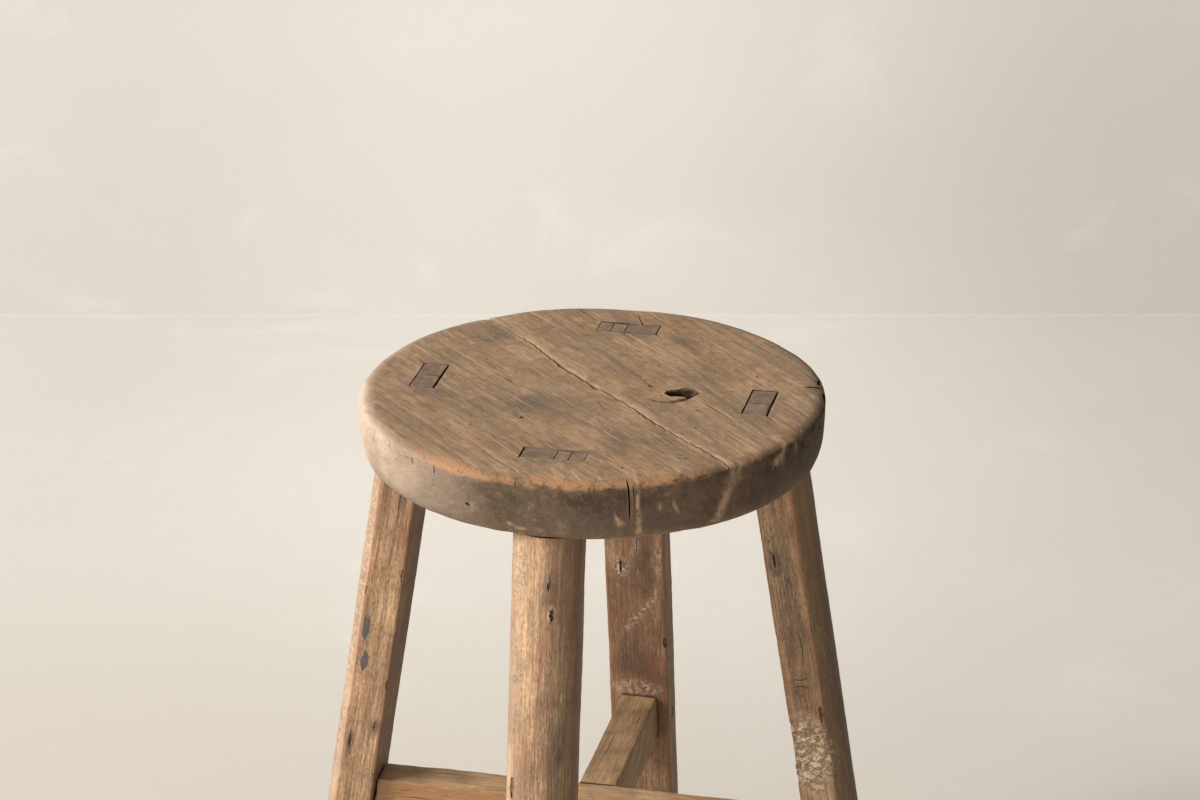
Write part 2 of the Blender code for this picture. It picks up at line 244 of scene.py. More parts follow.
def chisel(path, deepness, level):
    """A deep narrow V along a path of (x, y, width), in millimetres, to cut with."""
    curve = bpy.data.curves.new("chisel", "CURVE")
    curve.dimensions = "3D"
    curve.bevel_depth = 0.5 * MM
    curve.bevel_resolution = 0
    curve.use_fill_caps = True
    stroke = curve.splines.new("POLY")
    stroke.points.add(len(path) - 1)
    for point, (x, y, width) in zip(stroke.points, path):
        point.co = (x * MM, y * MM, 0, 1)
        point.radius = width
    tool = bpy.data.objects.new("chisel", curve)
    bpy.context.scene.collection.objects.link(tool)
    pick_up(tool)
    bpy.ops.object.convert(target="MESH")
    tool = bpy.context.object
    tool.scale.z = deepness
    tool.location.z = level
    settle(tool)
    edit(tool)
    bpy.ops.mesh.select_all(action="SELECT")
    bpy.ops.mesh.remove_doubles(threshold=0.001 * MM)
    bpy.ops.mesh.normals_make_consistent(inside=False)
    bpy.ops.object.mode_set(mode="OBJECT")
    return tool


def pit(x, y, z, size, ragged=0.3):
    """A small ragged hole at a place in millimetres, as a solid to cut with."""
    put_down_everything()
    bpy.ops.mesh.primitive_ico_sphere_add(subdivisions=3, radius=0.5)
    tool = name_new("pit")
    tool.scale = [side * MM for side in size]
    tool.rotation_euler.z = radians(-45)
    tool.location = (x * MM, y * MM, z * MM)
    settle(tool)
    roughen(tool, min(size) * 0.6 * MM, min(size) * ragged * MM, rest=0.5)
    return tool


def face_outwards(tool, azimuth, reach):
    """Turns a tool made lying flat to work on an upright face, at a reach from the axis."""
    tool.rotation_euler = (pi / 2, 0, azimuth + pi / 2)
    tool.location = (reach * cos(azimuth), reach * sin(azimuth), 0)
    settle(tool)
    return tool


# Smaller checks in the top: some run out from the tenons' corners along the grain.
TOP_CHECKS = [
    [(-41, 133, 1.0), (-35, 126.6, 1.1), (-27, 118, 0.9), (-20.5, 111.5, 0.5)],
    [(1.4, 128.8, 0.6), (5, 120, 1.0), (8.4, 112.3, 1.5)],
    [(20.5, 97, 0.9), (26, 88, 0.3)],
    [(112.3, -18.6, 1.3), (117, -24.5, 0.9), (121.5, -31, 0.3)],
    [(-120, 27.5, 0.4), (-116, 22.5, 0.8), (-112.4, 17.8, 1.2)],
    [(-96.5, -1.5, 0.8), (-91, -9, 0.5), (-82, -20.5, 0.2)],
    [(-97, -18, 0.6), (-92, -25, 0.2)],
    [(-58, 7.5, 0.3), (-54, 3.2, 1.0), (-48, -3, 0.4)],
    [(-47, 36, 0.3), (-43, 41.5, 0.6), (-37, 43, 0.6), (-31, 38, 0.4)],
    [(16.4, -0.9, 0.3), (27.8, -10.1, 0.8), (36, -18.6, 0.7), (44.4, -28.1, 0.3)],
    [(3.6, -14.5, 0.3), (9, -22, 0.8), (15.4, -32.8, 0.3)],
    [(-1.4, 40.1, 0.2), (13.9, 25.4, 0.6), (24.7, 16.4, 0.2)],
    [(-86, 40, 0.2), (-74, 28, 0.6), (-60, 13, 0.2)],
    [(-70, -20, 0.2), (-60, -31, 0.6), (-46, -46, 0.2)],
    [(40, 72, 0.2), (52, 60, 0.6), (66, 44, 0.2)],
    [(-30, -78, 0.2), (-18, -92, 0.6), (-6, -106, 0.2)],
]
# Pinholes where a knot's end or a worm came up, as X, Y and width in millimetres.
TOP_PITS = [
    (-32.3, -53.6, 2.8), (74.6, -47.2, 2.0), (44.1, -116.6, 1.8), (32.5, 45.7, 1.6),
    (69.8, -20.0, 1.5), (78.1, -94.5, 1.8), (44.0, -1.9, 1.6), (29.2, 22.6, 1.5),
    (-9, 71, 1.4), (-76, 33.6, 1.4), (96, 41, 1.5), (-60, -72, 1.4), (34.6, 12.2, 4.0),
]
top_mm = SEAT_TOP / MM
open_crack = [(x, y, width * 1.25 + 0.2) for x, y, width in LONG_CRACK]
cut_away(seat, chisel(open_crack, 6, SEAT_TOP))
cut_away(
    seat,
    *[chisel(path, 6, SEAT_TOP) for path in TOP_CHECKS],
    *[pit(x, y, top_mm - 0.4, (width * 1.3, width * 0.8, 4)) for x, y, width in TOP_PITS],
)

# The knot hole: a ragged hollow, and the crescent crack that let the knot go. Its middle
# and size are in millimetres.
KNOT_X = 55.5
KNOT_Y = 5.8
KNOT_SIZE = (22, 15, 26)
put_down_everything()
bpy.ops.mesh.primitive_uv_sphere_add(segments=48, ring_count=24, radius=0.5)
hollow = name_new("knot_hollow")
hollow.scale = [side * MM for side in KNOT_SIZE]
hollow.rotation_euler = (0, radians(10), radians(20))
hollow.location = (KNOT_X * MM, KNOT_Y * MM, SEAT_TOP - 0.5 * MM)
settle(hollow)
roughen(hollow, 7 * MM, 6 * MM, rest=0.5)
roughen(hollow, 2.0 * MM, 1.8 * MM, rest=0.5)
cut_away(seat, hollow)
crescent = [
    (37.0, -8.0, 0.8), (41.0, -11.0, 2.4), (46, -11.6, 3.6), (52, -10.4, 4.6),
    (57.5, -6.6, 4.6), (61.5, -1.6, 3.2), (65.5, 5, 0.8),
]
tail = [(38.6, 10.2, 0.9), (42, 9.0, 0.8), (47.5, 6.8, 1.4)]
cut_away(seat, chisel(crescent, 4, SEAT_TOP))
cut_away(seat, chisel(tail, 5, SEAT_TOP))

# Rim damage. The split has a gap at its left, then a sliver of wood, then a hairline.
# Short checks stand in the rim, a knock has broken its top edge at the right, and the
# wood has crumbled away in places along the front right edge. Each check has an azimuth
# in degrees, its ends below and above the top and its width in millimetres.
RIM_CHECKS = [
    (-135.4, -8, -2.5, 0.9), (-125.8, -11, -5, 1.3), (-118.2, -12, -5, 1.3),
    (-106.7, -5, 1, 1.0), (-101.9, -4, 1, 0.9), (-95.8, -7, -1, 1.0), (-89, -7, 0.5, 1.1),
    (-84, -3, 1, 0.9), (-77.5, -4, 1, 0.8), (-60, -4, 1, 0.8), (-144, -12, -7, 0.7),
    (-52, -6, 1, 0.9),
]


def rim_mark(azimuth, low, high, width, deepness=4, lean=0.0):
    """An upright check in the rim, between two heights from the top, in millimetres."""
    path = [(0, top_mm + low, 0.15), (lean, top_mm + (low + high) / 2, width),
            (2 * lean, top_mm + high, width * 0.7)]
    return face_outwards(chisel(path, deepness, 0), radians(azimuth), SEAT_RADIUS)


cut_away(seat, *[rim_mark(*check) for check in RIM_CHECKS])
split = [(-0.6, top_mm - 31, 0.3), (0.1, top_mm - 22, 1.1), (-0.3, top_mm - 10, 1.2),
         (-1.4, top_mm + 2, 1.3)]
hairline = [(2.2, top_mm - 33, 0.3), (2.9, top_mm - 16, 0.7), (1.9, top_mm + 2, 0.7)]
SPLIT_AZIMUTH = radians(-68.7)
cut_away(
    seat,
    face_outwards(chisel(split, 14, 0), SPLIT_AZIMUTH, SEAT_RADIUS),
    face_outwards(chisel(hairline, 8, 0), SPLIT_AZIMUTH, SEAT_RADIUS),
)
notch_across = [(127, 28.5, 0.4), (132, 31.5, 2.8), (138, 34, 4.6), (147, 35, 6.5)]
notch_along = [(133.6, 49, 0.6), (134.5, 44, 2.6), (136.0, 39.6, 3.4)]
notch_down = [(140.0, 29, 2.6), (142.0, 23, 2.4), (143.6, 15, 0.8)]
cut_away(seat, chisel(notch_across, 5, SEAT_TOP - 1.5 * MM))
cut_away(
    seat,
    chisel(notch_along, 5, SEAT_TOP - 1 * MM),
    chisel(notch_down, 4, SEAT_TOP - 2.5 * MM),
)
# Azimuth, depth below the top, length round the rim and height, in degrees and mm.
RIM_HOLLOWS = [
    (-42.8, 3.5, 16, 6), (-34.4, 2.5, 10, 5), (-21.0, 3.0, 12, 5), (-9.1, 3.5, 10, 5.5),
    (1.8, 3.5, 9, 5.5), (7.2, 5.5, 7, 5), (-28.0, 9.0, 5, 9), (-15.5, 9.5, 4, 5),
    (-108.4, 23.6, 2.6, 2.6), (-50, 3.5, 9, 4), (-3.2, 10, 5, 4), (-57, 3, 7, 3.5),
    (-76, 2.5, 8, 3), (-88, 2.0, 7, 3), (-98, 2.5, 9, 3.5), (-110, 2.5, 8, 3),
]
hollows = []
for azimuth, drop, length, height in RIM_HOLLOWS:
    turn = radians(azimuth)
    out = SEAT_RADIUS - 0.4 * MM
    dent = pit(0, 0, 0, (3.2, length, height), ragged=0.7)
    dent.rotation_euler.z = turn + radians(45)
    dent.location = (out * cos(turn), out * sin(turn), SEAT_TOP - drop * MM)
    settle(dent)
    hollows.append(dent)
cut_away(seat, *hollows)

# Slanting mortises for the legs' tenons, as millimetres of slack on the side towards the
# seat's middle, on the outer side, and at the two ends.
LEG_SPLAY = radians(8.9)
TENON_WIDTH = 38.3 * MM
TENON_THICKNESS = 14.5 * MM
CORNERS = {"front": -pi / 2, "right": 0.0, "back": pi / 2, "left": pi}
MORTISE_SLACK = {
    "front": (0.35, 0.4, 1.3, 0.5),
    "right": (0.7, 1.5, 0.4, 1.4),
    "back": (0.3, 1.0, 0.9, 0.4),
    "left": (1.3, 0.7, 0.6, 0.5),
}
LEG_DEPTH = 32.5 * MM
FOOT_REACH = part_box("leg_right")[1].x - LEG_DEPTH / cos(LEG_SPLAY)


def inner_face(z):
    """How far a leg's inner face is from the seat's axis, at a height."""
    return FOOT_REACH - z * tan(LEG_SPLAY)


def slanting_block(name, near, far, low_y, high_y, low_z, high_z):
    """A block that leans with a leg: near and far are measured out from its inner face."""
    put_down_everything()
    bpy.ops.mesh.primitive_cube_add(size=1)
    piece = name_new(name)
    piece.scale = ((far - near) / cos(LEG_SPLAY), high_y - low_y, high_z - low_z)
    middle = (near + far) / 2 / cos(LEG_SPLAY)
    piece.location = (middle, (low_y + high_y) / 2, (low_z + high_z) / 2)
    settle(piece)
    edit(piece)
    for level in (low_z, high_z):
        choose(piece, "VERT", lambda co: abs(co.z - level) < 0.01 * MM)
        bpy.ops.transform.translate(value=(inner_face(level), 0, 0))
    bpy.ops.object.mode_set(mode="OBJECT")
    return piece


for corner, azimuth in CORNERS.items():
    inner, outer, first, last = (slack * MM for slack in MORTISE_SLACK[corner])
    mortise = slanting_block(
        "mortise",
        -inner,
        TENON_THICKNESS + outer,
        -TENON_WIDTH / 2 - first,
        TENON_WIDTH / 2 + last,
        SEAT_UNDER - 10 * MM,
        SEAT_TOP + 10 * MM,
    )
    edit(mortise)
    bpy.ops.mesh.select_all(action="SELECT")
    bpy.ops.mesh.subdivide(number_cuts=23)
    bpy.ops.object.mode_set(mode="OBJECT")
    roughen(mortise, 5 * MM, 0.9 * MM, rest=0.45)
    mortise.rotation_euler.z = azimuth
    settle(mortise)
    cut_away(seat, mortise)


def paint(piece, name, amount):
    """A soft mask on a piece's vertices, 0 to 1, from a rule about their place."""
    layer = piece.data.attributes.new(name, "FLOAT", "POINT")
    values = [max(0.0, min(1.0, amount(vertex.co))) for vertex in piece.data.vertices]
    layer.data.foreach_set("value", values)


def band(value, middle, reach):
    """1 at the middle, falling to 0 a reach away on both sides."""
    return max(0.0, 1 - abs(value - middle) / reach)


def lay_grain(piece, along, outwards, start=(0, 0, 0)):
    """Stores where each vertex is in its board: X along the grain, Z out of its face."""
    along = along.normalized()
    across = outwards.cross(along).normalized()
    outwards = along.cross(across)
    start = Vector(start)
    places = piece.data.attributes.new("board", "FLOAT_VECTOR", "POINT")
    flat = []
    for vertex in piece.data.vertices:
        co = vertex.co
        flat.extend(Vector((co.dot(along), co.dot(across), co.dot(outwards))) + start)
    places.data.foreach_set("vector", flat)


def dress(piece, material):
    """Smooths a finished piece's rounded faces and gives it its material."""
    pick_up(piece)
    bpy.ops.object.shade_smooth_by_angle(angle=radians(40))
    piece.data.materials.append(material)


# Dark patches rubbed into the top: X, Y, reach in millimetres, and strength.
TOP_STAINS = [
    (-82.8, 81.5, 22, 0.7), (-32.8, -30.4, 26, 0.6), (-29.8, 70.5, 20, 0.5),
    (37.2, 88, 20, 0.5), (29.8, -77.9, 24, 0.6), (48.7, -17.7, 16, 0.6),
    (-104, 30, 22, 0.6), (-50, 25, 24, 0.3), (-100, -20, 26, 0.5), (104, 10, 22, 0.5),
    (112, -14, 20, 0.5), (0, -104, 24, 0.5), (0, 104, 22, 0.5), (60, 40, 26, 0.3),
    (-60, -60, 26, 0.4), (-5, 12, 12, 0.3), (82, -30, 24, 0.3),
]
# Round the rim: where it is painted pale, as paler wood and a painted highlight on the side
# towards the window, and where its top edge is rubbed to orange wood, as azimuth, reach to
# both sides and strength.
RIM_PALE_HIGHLIGHT = [(-168, 66, 1.35), (130, 70, 0.7)]
RIM_RUBBED = [(-112, 34, 0.75), (-86, 26, 1.0), (-62, 24, 0.7), (-38, 20, 0.35), (-20, 16, 0.4)]


def turn_of(co):
    """A point's azimuth, in degrees."""
    return degrees(atan2(co.y, co.x))


def round_the_rim(places, co):
    """The strongest of some stretches of rim at a point."""
    total = 0.0
    for middle, reach, strength in places:
        gap = (turn_of(co) - middle + 180) % 360 - 180
        total = max(total, strength * max(0.0, 1 - abs(gap) / reach))
    return total


def top_stain(co):
    """Dark patches on the top, and a little all over the rim and underside."""
    if co.z < SEAT_TOP - 15 * MM:
        return 0.35
    total = 0.0
    for x, y, reach, strength in TOP_STAINS:
        away = hypot(co.x / MM - x, co.y / MM - y) / reach
        total += strength * exp(-2.5 * away * away)
    return total


def rim_rub(co):
    """Where the rim's top edge is rubbed through its skin."""
    out = hypot(co.x, co.y) / MM
    level = band(co.z / MM, top_mm - 2.8, 5.5)
    return round_the_rim(RIM_RUBBED, co) * level * max(0.0, min(1.0, (out - 130) / 10))


def rim_pale_highlight(co):
    """Where the rim is painted pale: paler wood and a painted highlight towards the window."""
    out = hypot(co.x, co.y) / MM
    side = max(0.0, min(1.0, (out - 136) / 8))
    return round_the_rim(RIM_PALE_HIGHLIGHT, co) * side


# Streaks across the rim where the dark skin has flaked: azimuth and depth at both ends,
# half width and strength.
RIM_FLARES = [
    (-41.8, 4, -46.2, 34, 1.3, 0.9), (-39.5, 3, -43.5, 16, 1.6, 0.6),
    (-66.9, 1, -66.4, 33, 0.55, 1.0), (-22.7, 1, -28.5, 11.6, 1.6, 0.8),
    (-19.2, 5, -18.8, 11, 0.7, 1.0), (-62.4, 16, -61.0, 21, 0.8, 0.8),
    (-71.9, 23, -70.5, 30, 1.0, 0.7), (-77.9, 8, -77.0, 13, 0.5, 0.7),
    (-112, 24, -107, 23, 0.8, 0.6), (-98, 31, -94, 34.5, 1.4, 0.9),
    (-92, 33, -88, 35, 1.0, 0.6), (-58, 18, -56.5, 25, 0.5, 0.6),
]


def rim_flare(co):
    """Where a streak crosses the rim."""
    out = hypot(co.x, co.y) / MM
    if out < 128:
        return 0.0
    drop = top_mm - co.z / MM
    total = 0.0
    for top_turn, top_drop, low_turn, low_drop, half, strength in RIM_FLARES:
        along = (drop - top_drop) / (low_drop - top_drop)
        if -0.1 < along < 1.1:
            middle = top_turn + (low_turn - top_turn) * along
            gap = abs((turn_of(co) - middle + 180) % 360 - 180)
            total = max(total, strength * max(0.0, 1.6 - 1.6 * gap / (half * (0.6 + along))))
    return min(1.0, total)


def knot_hole_shade(co):
    """How far down in the knot hole a point is, to paint its red heartwood and painted shade."""
    away = hypot(co.x / MM - KNOT_X, co.y / MM - KNOT_Y)
    return (top_mm - 1.2 - co.z / MM) / 1.5 if away < 14 else 0.0


def crack_lip_highlight(co):
    """A painted highlight on the raised lip behind the long crack."""
    if co.z < SEAT_TOP - 4 * MM:
        return 0.0
    away = -off_the_crack(co.x, co.y) / MM
    between = 0.55 if 10 * MM < co.x < 48 * MM else 0.3
    return max(0.9 * band(away, 1.3, 2.6), between * band(away, 3.5, 5))


paint(seat, "lip_highlight", crack_lip_highlight)
paint(seat, "flare", rim_flare)
paint(seat, "knot_shade", knot_hole_shade)
paint(seat, "stain", top_stain)
paint(seat, "rubbed", rim_rub)
paint(seat, "pale_highlight", rim_pale_highlight)
paint(seat, "side", lambda co: (hypot(co.x, co.y) / MM - 137) / 7)
lay_grain(seat, Vector((1, -1.02, 0)), Vector((0, 0, 1)), (0.3, 0.01, -0.5))


def add_node(tree, kind, ins=(), **settings):
    """A node with its settings, and its inputs linked or set."""
    node = tree.nodes.new("ShaderNode" + kind)
    for name, value in settings.items():
        setattr(node, name, value)
    for key, value in dict(ins).items():
        if isinstance(value, bpy.types.NodeSocket):
            tree.links.new(value, node.inputs[key])
        else:
            node.inputs[key].default_value = value
    return node


def calc(tree, operation, a, b=0.0):
    """A sum on two values."""
    return add_node(tree, "Math", {0: a, 1: b}, operation=operation).outputs[0]


def vector_calc(tree, operation, a, b):
    """A sum on two vectors."""
    return add_node(tree, "VectorMath", {0: a, 1: b}, operation=operation).outputs[0]


def blend(tree, share, under, over, how="MIX"):
    """One colour laid over another, or multiplied into it, by a share."""
    node = add_node(
        tree, "Mix", {0: share, 6: under, 7: over}, data_type="RGBA", blend_type=how
    )
    return node.outputs[2]


def ease(tree, value, low, high, start=0.0, end=1.0):
    """A value from low to high, eased onto start to end."""
    node = add_node(
        tree, "MapRange", {0: value, 1: low, 2: high, 3: start, 4: end},
        interpolation_type="SMOOTHSTEP",
    )
    return node.outputs[0]


def noise(tree, vector, scale, detail=3.0, roughness=0.55, warp=0.0):
    """Noise on a vector stretched by a scale along each axis."""
    stretched = vector_calc(tree, "MULTIPLY", vector, scale)
    node = add_node(
        tree,
        "TexNoise",
        {"Vector": stretched, "Scale": 1.0, "Detail": detail, "Roughness": roughness,
         "Distortion": warp},
    )
    return node.outputs["Fac"]


def new_group(name, ins, outs):
    """An empty node group with named inputs (name, kind, value) and outputs."""
    group = bpy.data.node_groups.new(name, "ShaderNodeTree")
    for label, kind, value in ins:
        socket = group.interface.new_socket(label, in_out="INPUT", socket_type=kind)
        if value is not None:
            socket.default_value = value
    for label, kind in outs:
        group.interface.new_socket(label, in_out="OUTPUT", socket_type=kind)
    return group, group.nodes.new("NodeGroupInput"), group.nodes.new("NodeGroupOutput")


def elm_grain_group():
    """Rings, fibres, pores and knocks of old elm, on a vector with X along the grain."""
    group, given, made = new_group(
        "elm_grain",
        [("Vector", "NodeSocketVector", None), ("Ring Spacing", "NodeSocketFloat", 0.004),
         ("Waviness", "NodeSocketFloat", 0.006)],
        [(name, "NodeSocketFloat") for name in
         ("Rings", "Fibre", "Pores", "Scratches", "Drift", "Height")],
    )
    vector = given.outputs["Vector"]
    sway = noise(group, vector, (4.5, 16, 16), 2.0).node.outputs["Color"]
    sway = vector_calc(group, "SUBTRACT", sway, (0.5, 0.5, 0.5))
    sway = add_node(
        group, "VectorMath", {0: sway, "Scale": given.outputs["Waviness"]}, operation="SCALE"
    ).outputs[0]
    bent = vector_calc(group, "ADD", vector, sway)
    section = vector_calc(group, "MULTIPLY", bent, (0.12, 1, 1))
    reach = add_node(group, "VectorMath", {0: section}, operation="LENGTH").outputs["Value"]
    count = calc(group, "DIVIDE", reach, given.outputs["Ring Spacing"])
    season = calc(group, "SUBTRACT", calc(group, "FRACT", count), 0.5)
    season = calc(group, "MULTIPLY", calc(group, "ABSOLUTE", season), 2.0)
    year = add_node(
        group, "TexWhiteNoise", {"W": calc(group, "FLOOR", count)}, noise_dimensions="1D"
    ).outputs["Value"]
    line = calc(group, "MULTIPLY", calc(group, "POWER", season, 3.0),
                ease(group, year, 0.0, 1.0, 0.35, 1.0))
    fibre = noise(group, vector, (28, 850, 850), 5.0, 0.65)
    pore = noise(group, bent, (190, 3400, 3400), 2.0, 0.5)
    pores = calc(group, "MULTIPLY", ease(group, pore, 0.60, 0.70),
                 ease(group, line, 0.0, 1.0, 0.35, 1.0))
    scratch = noise(group, vector, (75, 1300, 1300), 3.0, 0.6, 0.3)
    patch = noise(group, vector, (30, 40, 40), 3.0, 0.6)
    scratches = calc(group, "MULTIPLY", ease(group, scratch, 0.585, 0.68),
                     ease(group, patch, 0.42, 0.58))
    drift = noise(group, vector, (9, 34, 34), 4.0, 0.6, 0.4)
    height = calc(group, "SUBTRACT", calc(group, "MULTIPLY", fibre, 0.7),
                  calc(group, "MULTIPLY", pores, 0.5))
    height = calc(group, "SUBTRACT", height, calc(group, "MULTIPLY", line, 0.25))
    for name, value in (("Rings", line), ("Fibre", fibre), ("Pores", pores),
                        ("Scratches", scratches), ("Drift", drift), ("Height", height)):
        group.links.new(value, made.inputs[name])
    return group


def nooks_group():
    """Settled dirt in corners and cracks, and wear on edges that stand out."""
    group, given, made = new_group(
        "nooks_and_edges",
        [("Vector", "NodeSocketVector", None), ("Reach", "NodeSocketFloat", 0.004)],
        [("Dirt", "NodeSocketFloat"), ("Wear", "NodeSocketFloat")],
    )
    reach = given.outputs["Reach"]
    into = add_node(group, "AmbientOcclusion", {"Distance": reach}, samples=6)
    onto = add_node(group, "AmbientOcclusion", {"Distance": reach}, samples=6, inside=True)
    breaks = noise(group, given.outputs["Vector"], (90, 260, 260), 4.0, 0.7)
    spread = ease(group, breaks, 0.3, 0.7, 0.4, 1.0)
    dirt = ease(group, into.outputs["AO"], 0.9, 0.35)
    wear = ease(group, onto.outputs["AO"], 0.75, 0.35)
    group.links.new(dirt, made.inputs["Dirt"])
    group.links.new(calc(group, "MULTIPLY", wear, spread), made.inputs["Wear"])
    return group


elm_grain = elm_grain_group()
nooks_and_edges = nooks_group()


def start_wood(name, ring_spacing, waviness, reach):
    """A wood material with the grain and the edge groups in it, ready to colour."""
    material = bpy.data.materials.new(name)
    material.use_nodes = True
    tree = material.node_tree
    board = add_node(tree, "Attribute", attribute_name="board").outputs["Vector"]
    grain = add_node(tree, "Group", node_tree=elm_grain)
    edges = add_node(tree, "Group", node_tree=nooks_and_edges)
    tree.links.new(board, grain.inputs["Vector"])
    tree.links.new(board, edges.inputs["Vector"])
    grain.inputs["Ring Spacing"].default_value = ring_spacing
    grain.inputs["Waviness"].default_value = waviness
    edges.inputs["Reach"].default_value = reach
    return material, tree, board, grain.outputs, edges.outputs


def finish_wood(tree, colour, roughness, height, depth):
    """Feeds the colour, roughness and relief into the material's shader."""
    shader = tree.nodes["Principled BSDF"]
    tree.links.new(colour, shader.inputs["Base Color"])
    tree.links.new(roughness, shader.inputs["Roughness"])
    relief = add_node(tree, "Bump", {"Height": height, "Distance": depth, "Strength": 1.0})
    tree.links.new(relief.outputs[0], shader.inputs["Normal"])


def mask(tree, name):
    """A painted mask, by its name."""
    return add_node(tree, "Attribute", attribute_name=name).outputs["Fac"]


def seat_wood():
    """Old elm, greyed and handled: brown on top, with a dark skin round the rim."""
    brown, straw = (0.270, 0.158, 0.082, 1), (0.44, 0.278, 0.158, 1)
    grey_brown = (0.24, 0.165, 0.110, 1)
    ring_brown = (0.16, 0.092, 0.052, 1)
    old_cut, fresh_cut = (0.11, 0.07, 0.045, 1), (0.56, 0.385, 0.245, 1)
    knock_pale = (0.58, 0.41, 0.27, 1)
    rim_skin, thin_skin = (0.052, 0.032, 0.018, 1), (0.20, 0.130, 0.080, 1)
    painted_lip_highlight = (0.52, 0.36, 0.23, 1)
    stain_brown = (0.130, 0.094, 0.066, 1)
    pale_wood_and_highlight = (0.66, 0.50, 0.38, 1)
    rubbed_orange = (0.44, 0.225, 0.105, 1)
    flare_yellow, flake_brown = (0.46, 0.30, 0.175, 1), (0.36, 0.235, 0.145, 1)
    worn_edge = (0.47, 0.29, 0.16, 1)
    grime_brown, pore_dark = (0.10, 0.068, 0.045, 1), (0.06, 0.036, 0.022, 1)
    knot_red_and_shade, dirt_dark = (0.050, 0.019, 0.009, 1), (0.022, 0.014, 0.009, 1)
    material, tree, board, grain, edges = start_wood("seat_wood", 8 * MM, 22 * MM, 3 * MM)

    # The board's own colour: clouded, drifting to grey, with fibres, mottle and rings.
    cloud = noise(tree, board, (24, 34, 34), 6.0, 0.68, 0.6)
    crumbs = noise(tree, board, (70, 120, 120), 4.0, 0.7, 0.5)
    mottle = noise(tree, board, (150, 210, 210), 4.0, 0.7)
    colour = blend(tree, ease(tree, cloud, 0.32, 0.68), brown, straw)
    drift = ease(tree, grain["Drift"], 0.38, 0.66, 0.0, 0.6)
    colour = blend(tree, drift, colour, grey_brown)
    fibre = ease(tree, grain["Fibre"], 0.3, 0.7, 0.78, 1.18)
    colour = blend(tree, 1.0, colour, fibre, "MULTIPLY")
    colour = blend(tree, 1.0, colour, ease(tree, mottle, 0.3, 0.7, 0.80, 1.18), "MULTIPLY")
    cuts = noise(tree, board, (48, 1100, 1100), 2.0, 0.5, 0.2)
    colour = blend(tree, ease(tree, cuts, 0.655, 0.70, 0.0, 0.55), colour, old_cut)
    rings = ease(tree, grain["Drift"], 0.3, 0.6, 0.1, 0.4)
    colour = blend(tree, calc(tree, "MULTIPLY", grain["Rings"], rings), colour, ring_brown)

    # The rim's dark skin, thin in places.
    side = mask(tree, "side")
    tone = ease(tree, noise(tree, board, (14, 40, 40), 5.0, 0.68), 0.30, 0.66, 1.0, 0.70)
    colour = blend(tree, calc(tree, "MULTIPLY", side, tone), colour, rim_skin)
    thin = noise(tree, board, (60, 260, 260), 5.0, 0.72, 0.3)
    thin = calc(tree, "MULTIPLY", side, ease(tree, thin, 0.50, 0.66, 0.0, 0.5))
    colour = blend(tree, thin, colour, thin_skin)

    # What use did: stains, rubbed stretches and flakes. Painted light: a painted highlight on
    # the crack's raised lip, and the rim painted pale towards the window, partly a highlight.
    lip_highlight = calc(tree, "MULTIPLY", mask(tree, "lip_highlight"), ease(tree, crumbs, 0.3, 0.6, 0.35, 0.9))
    colour = blend(tree, lip_highlight, colour, painted_lip_highlight)
    stain = calc(tree, "MULTIPLY", mask(tree, "stain"), ease(tree, cloud, 0.62, 0.38, 0.35, 1.3))
    colour = blend(tree, stain, colour, stain_brown)
    # The rim painted pale: paler wood and a painted highlight on the side towards the window.
    pale_highlight = calc(tree, "MULTIPLY", mask(tree, "pale_highlight"), ease(tree, cloud, 0.28, 0.6, 0.55, 1.0))
    colour = blend(tree, pale_highlight, colour, pale_wood_and_highlight)
    rub = calc(tree, "MULTIPLY", mask(tree, "rubbed"), 1.9)
    rub = calc(tree, "MULTIPLY", rub, ease(tree, crumbs, 0.35, 0.6, 0.3, 1.1))
    colour = blend(tree, ease(tree, rub, 0.2, 1.0, 0.0, 0.8), colour, rubbed_orange)
    flare = calc(tree, "MULTIPLY", mask(tree, "flare"), ease(tree, crumbs, 0.38, 0.55, 0.25, 1.0))
    colour = blend(tree, flare, colour, flare_yellow)
    flakes = calc(tree, "MULTIPLY", side, ease(tree, crumbs, 0.58, 0.68, 0.0, 0.40))
    colour = blend(tree, flakes, colour, flake_brown)
    colour = blend(tree, calc(tree, "MULTIPLY", edges["Wear"], 0.7), colour, worn_edge)

    # Fresh scratches along the top's grain.
    on_top = calc(tree, "SUBTRACT", 1.0, side)
    scratches = noise(tree, board, (9, 620, 620), 2.0, 0.5, 0.1)
    scratches = calc(tree, "MULTIPLY", ease(tree, scratches, 0.63, 0.70, 0.0, 0.6), on_top)
    colour = blend(tree, scratches, colour, fresh_cut)
    knocks = ease(tree, grain["Scratches"], 0.25, 0.6, 0.0, 0.6)
    colour = blend(tree, calc(tree, "MULTIPLY", knocks, on_top), colour, knock_pale)

    # Grime, open pores, the knot hole's red heartwood darkened as painted shade, and dirt in
    # every crack.
    grime = ease(tree, crumbs, 0.36, 0.28, 0.0, 0.55)
    colour = blend(tree, grime, colour, grime_brown)
    colour = blend(tree, calc(tree, "MULTIPLY", grain["Pores"], 0.65), colour, pore_dark)
    # The knot hole painted darker the deeper it goes: red heartwood and painted shade.
    knot_shade = calc(tree, "MULTIPLY", mask(tree, "knot_shade"), ease(tree, crumbs, 0.6, 0.4, 0.8, 1.0))
    colour = blend(tree, knot_shade, colour, knot_red_and_shade)
    colour = blend(tree, edges["Dirt"], colour, dirt_dark)

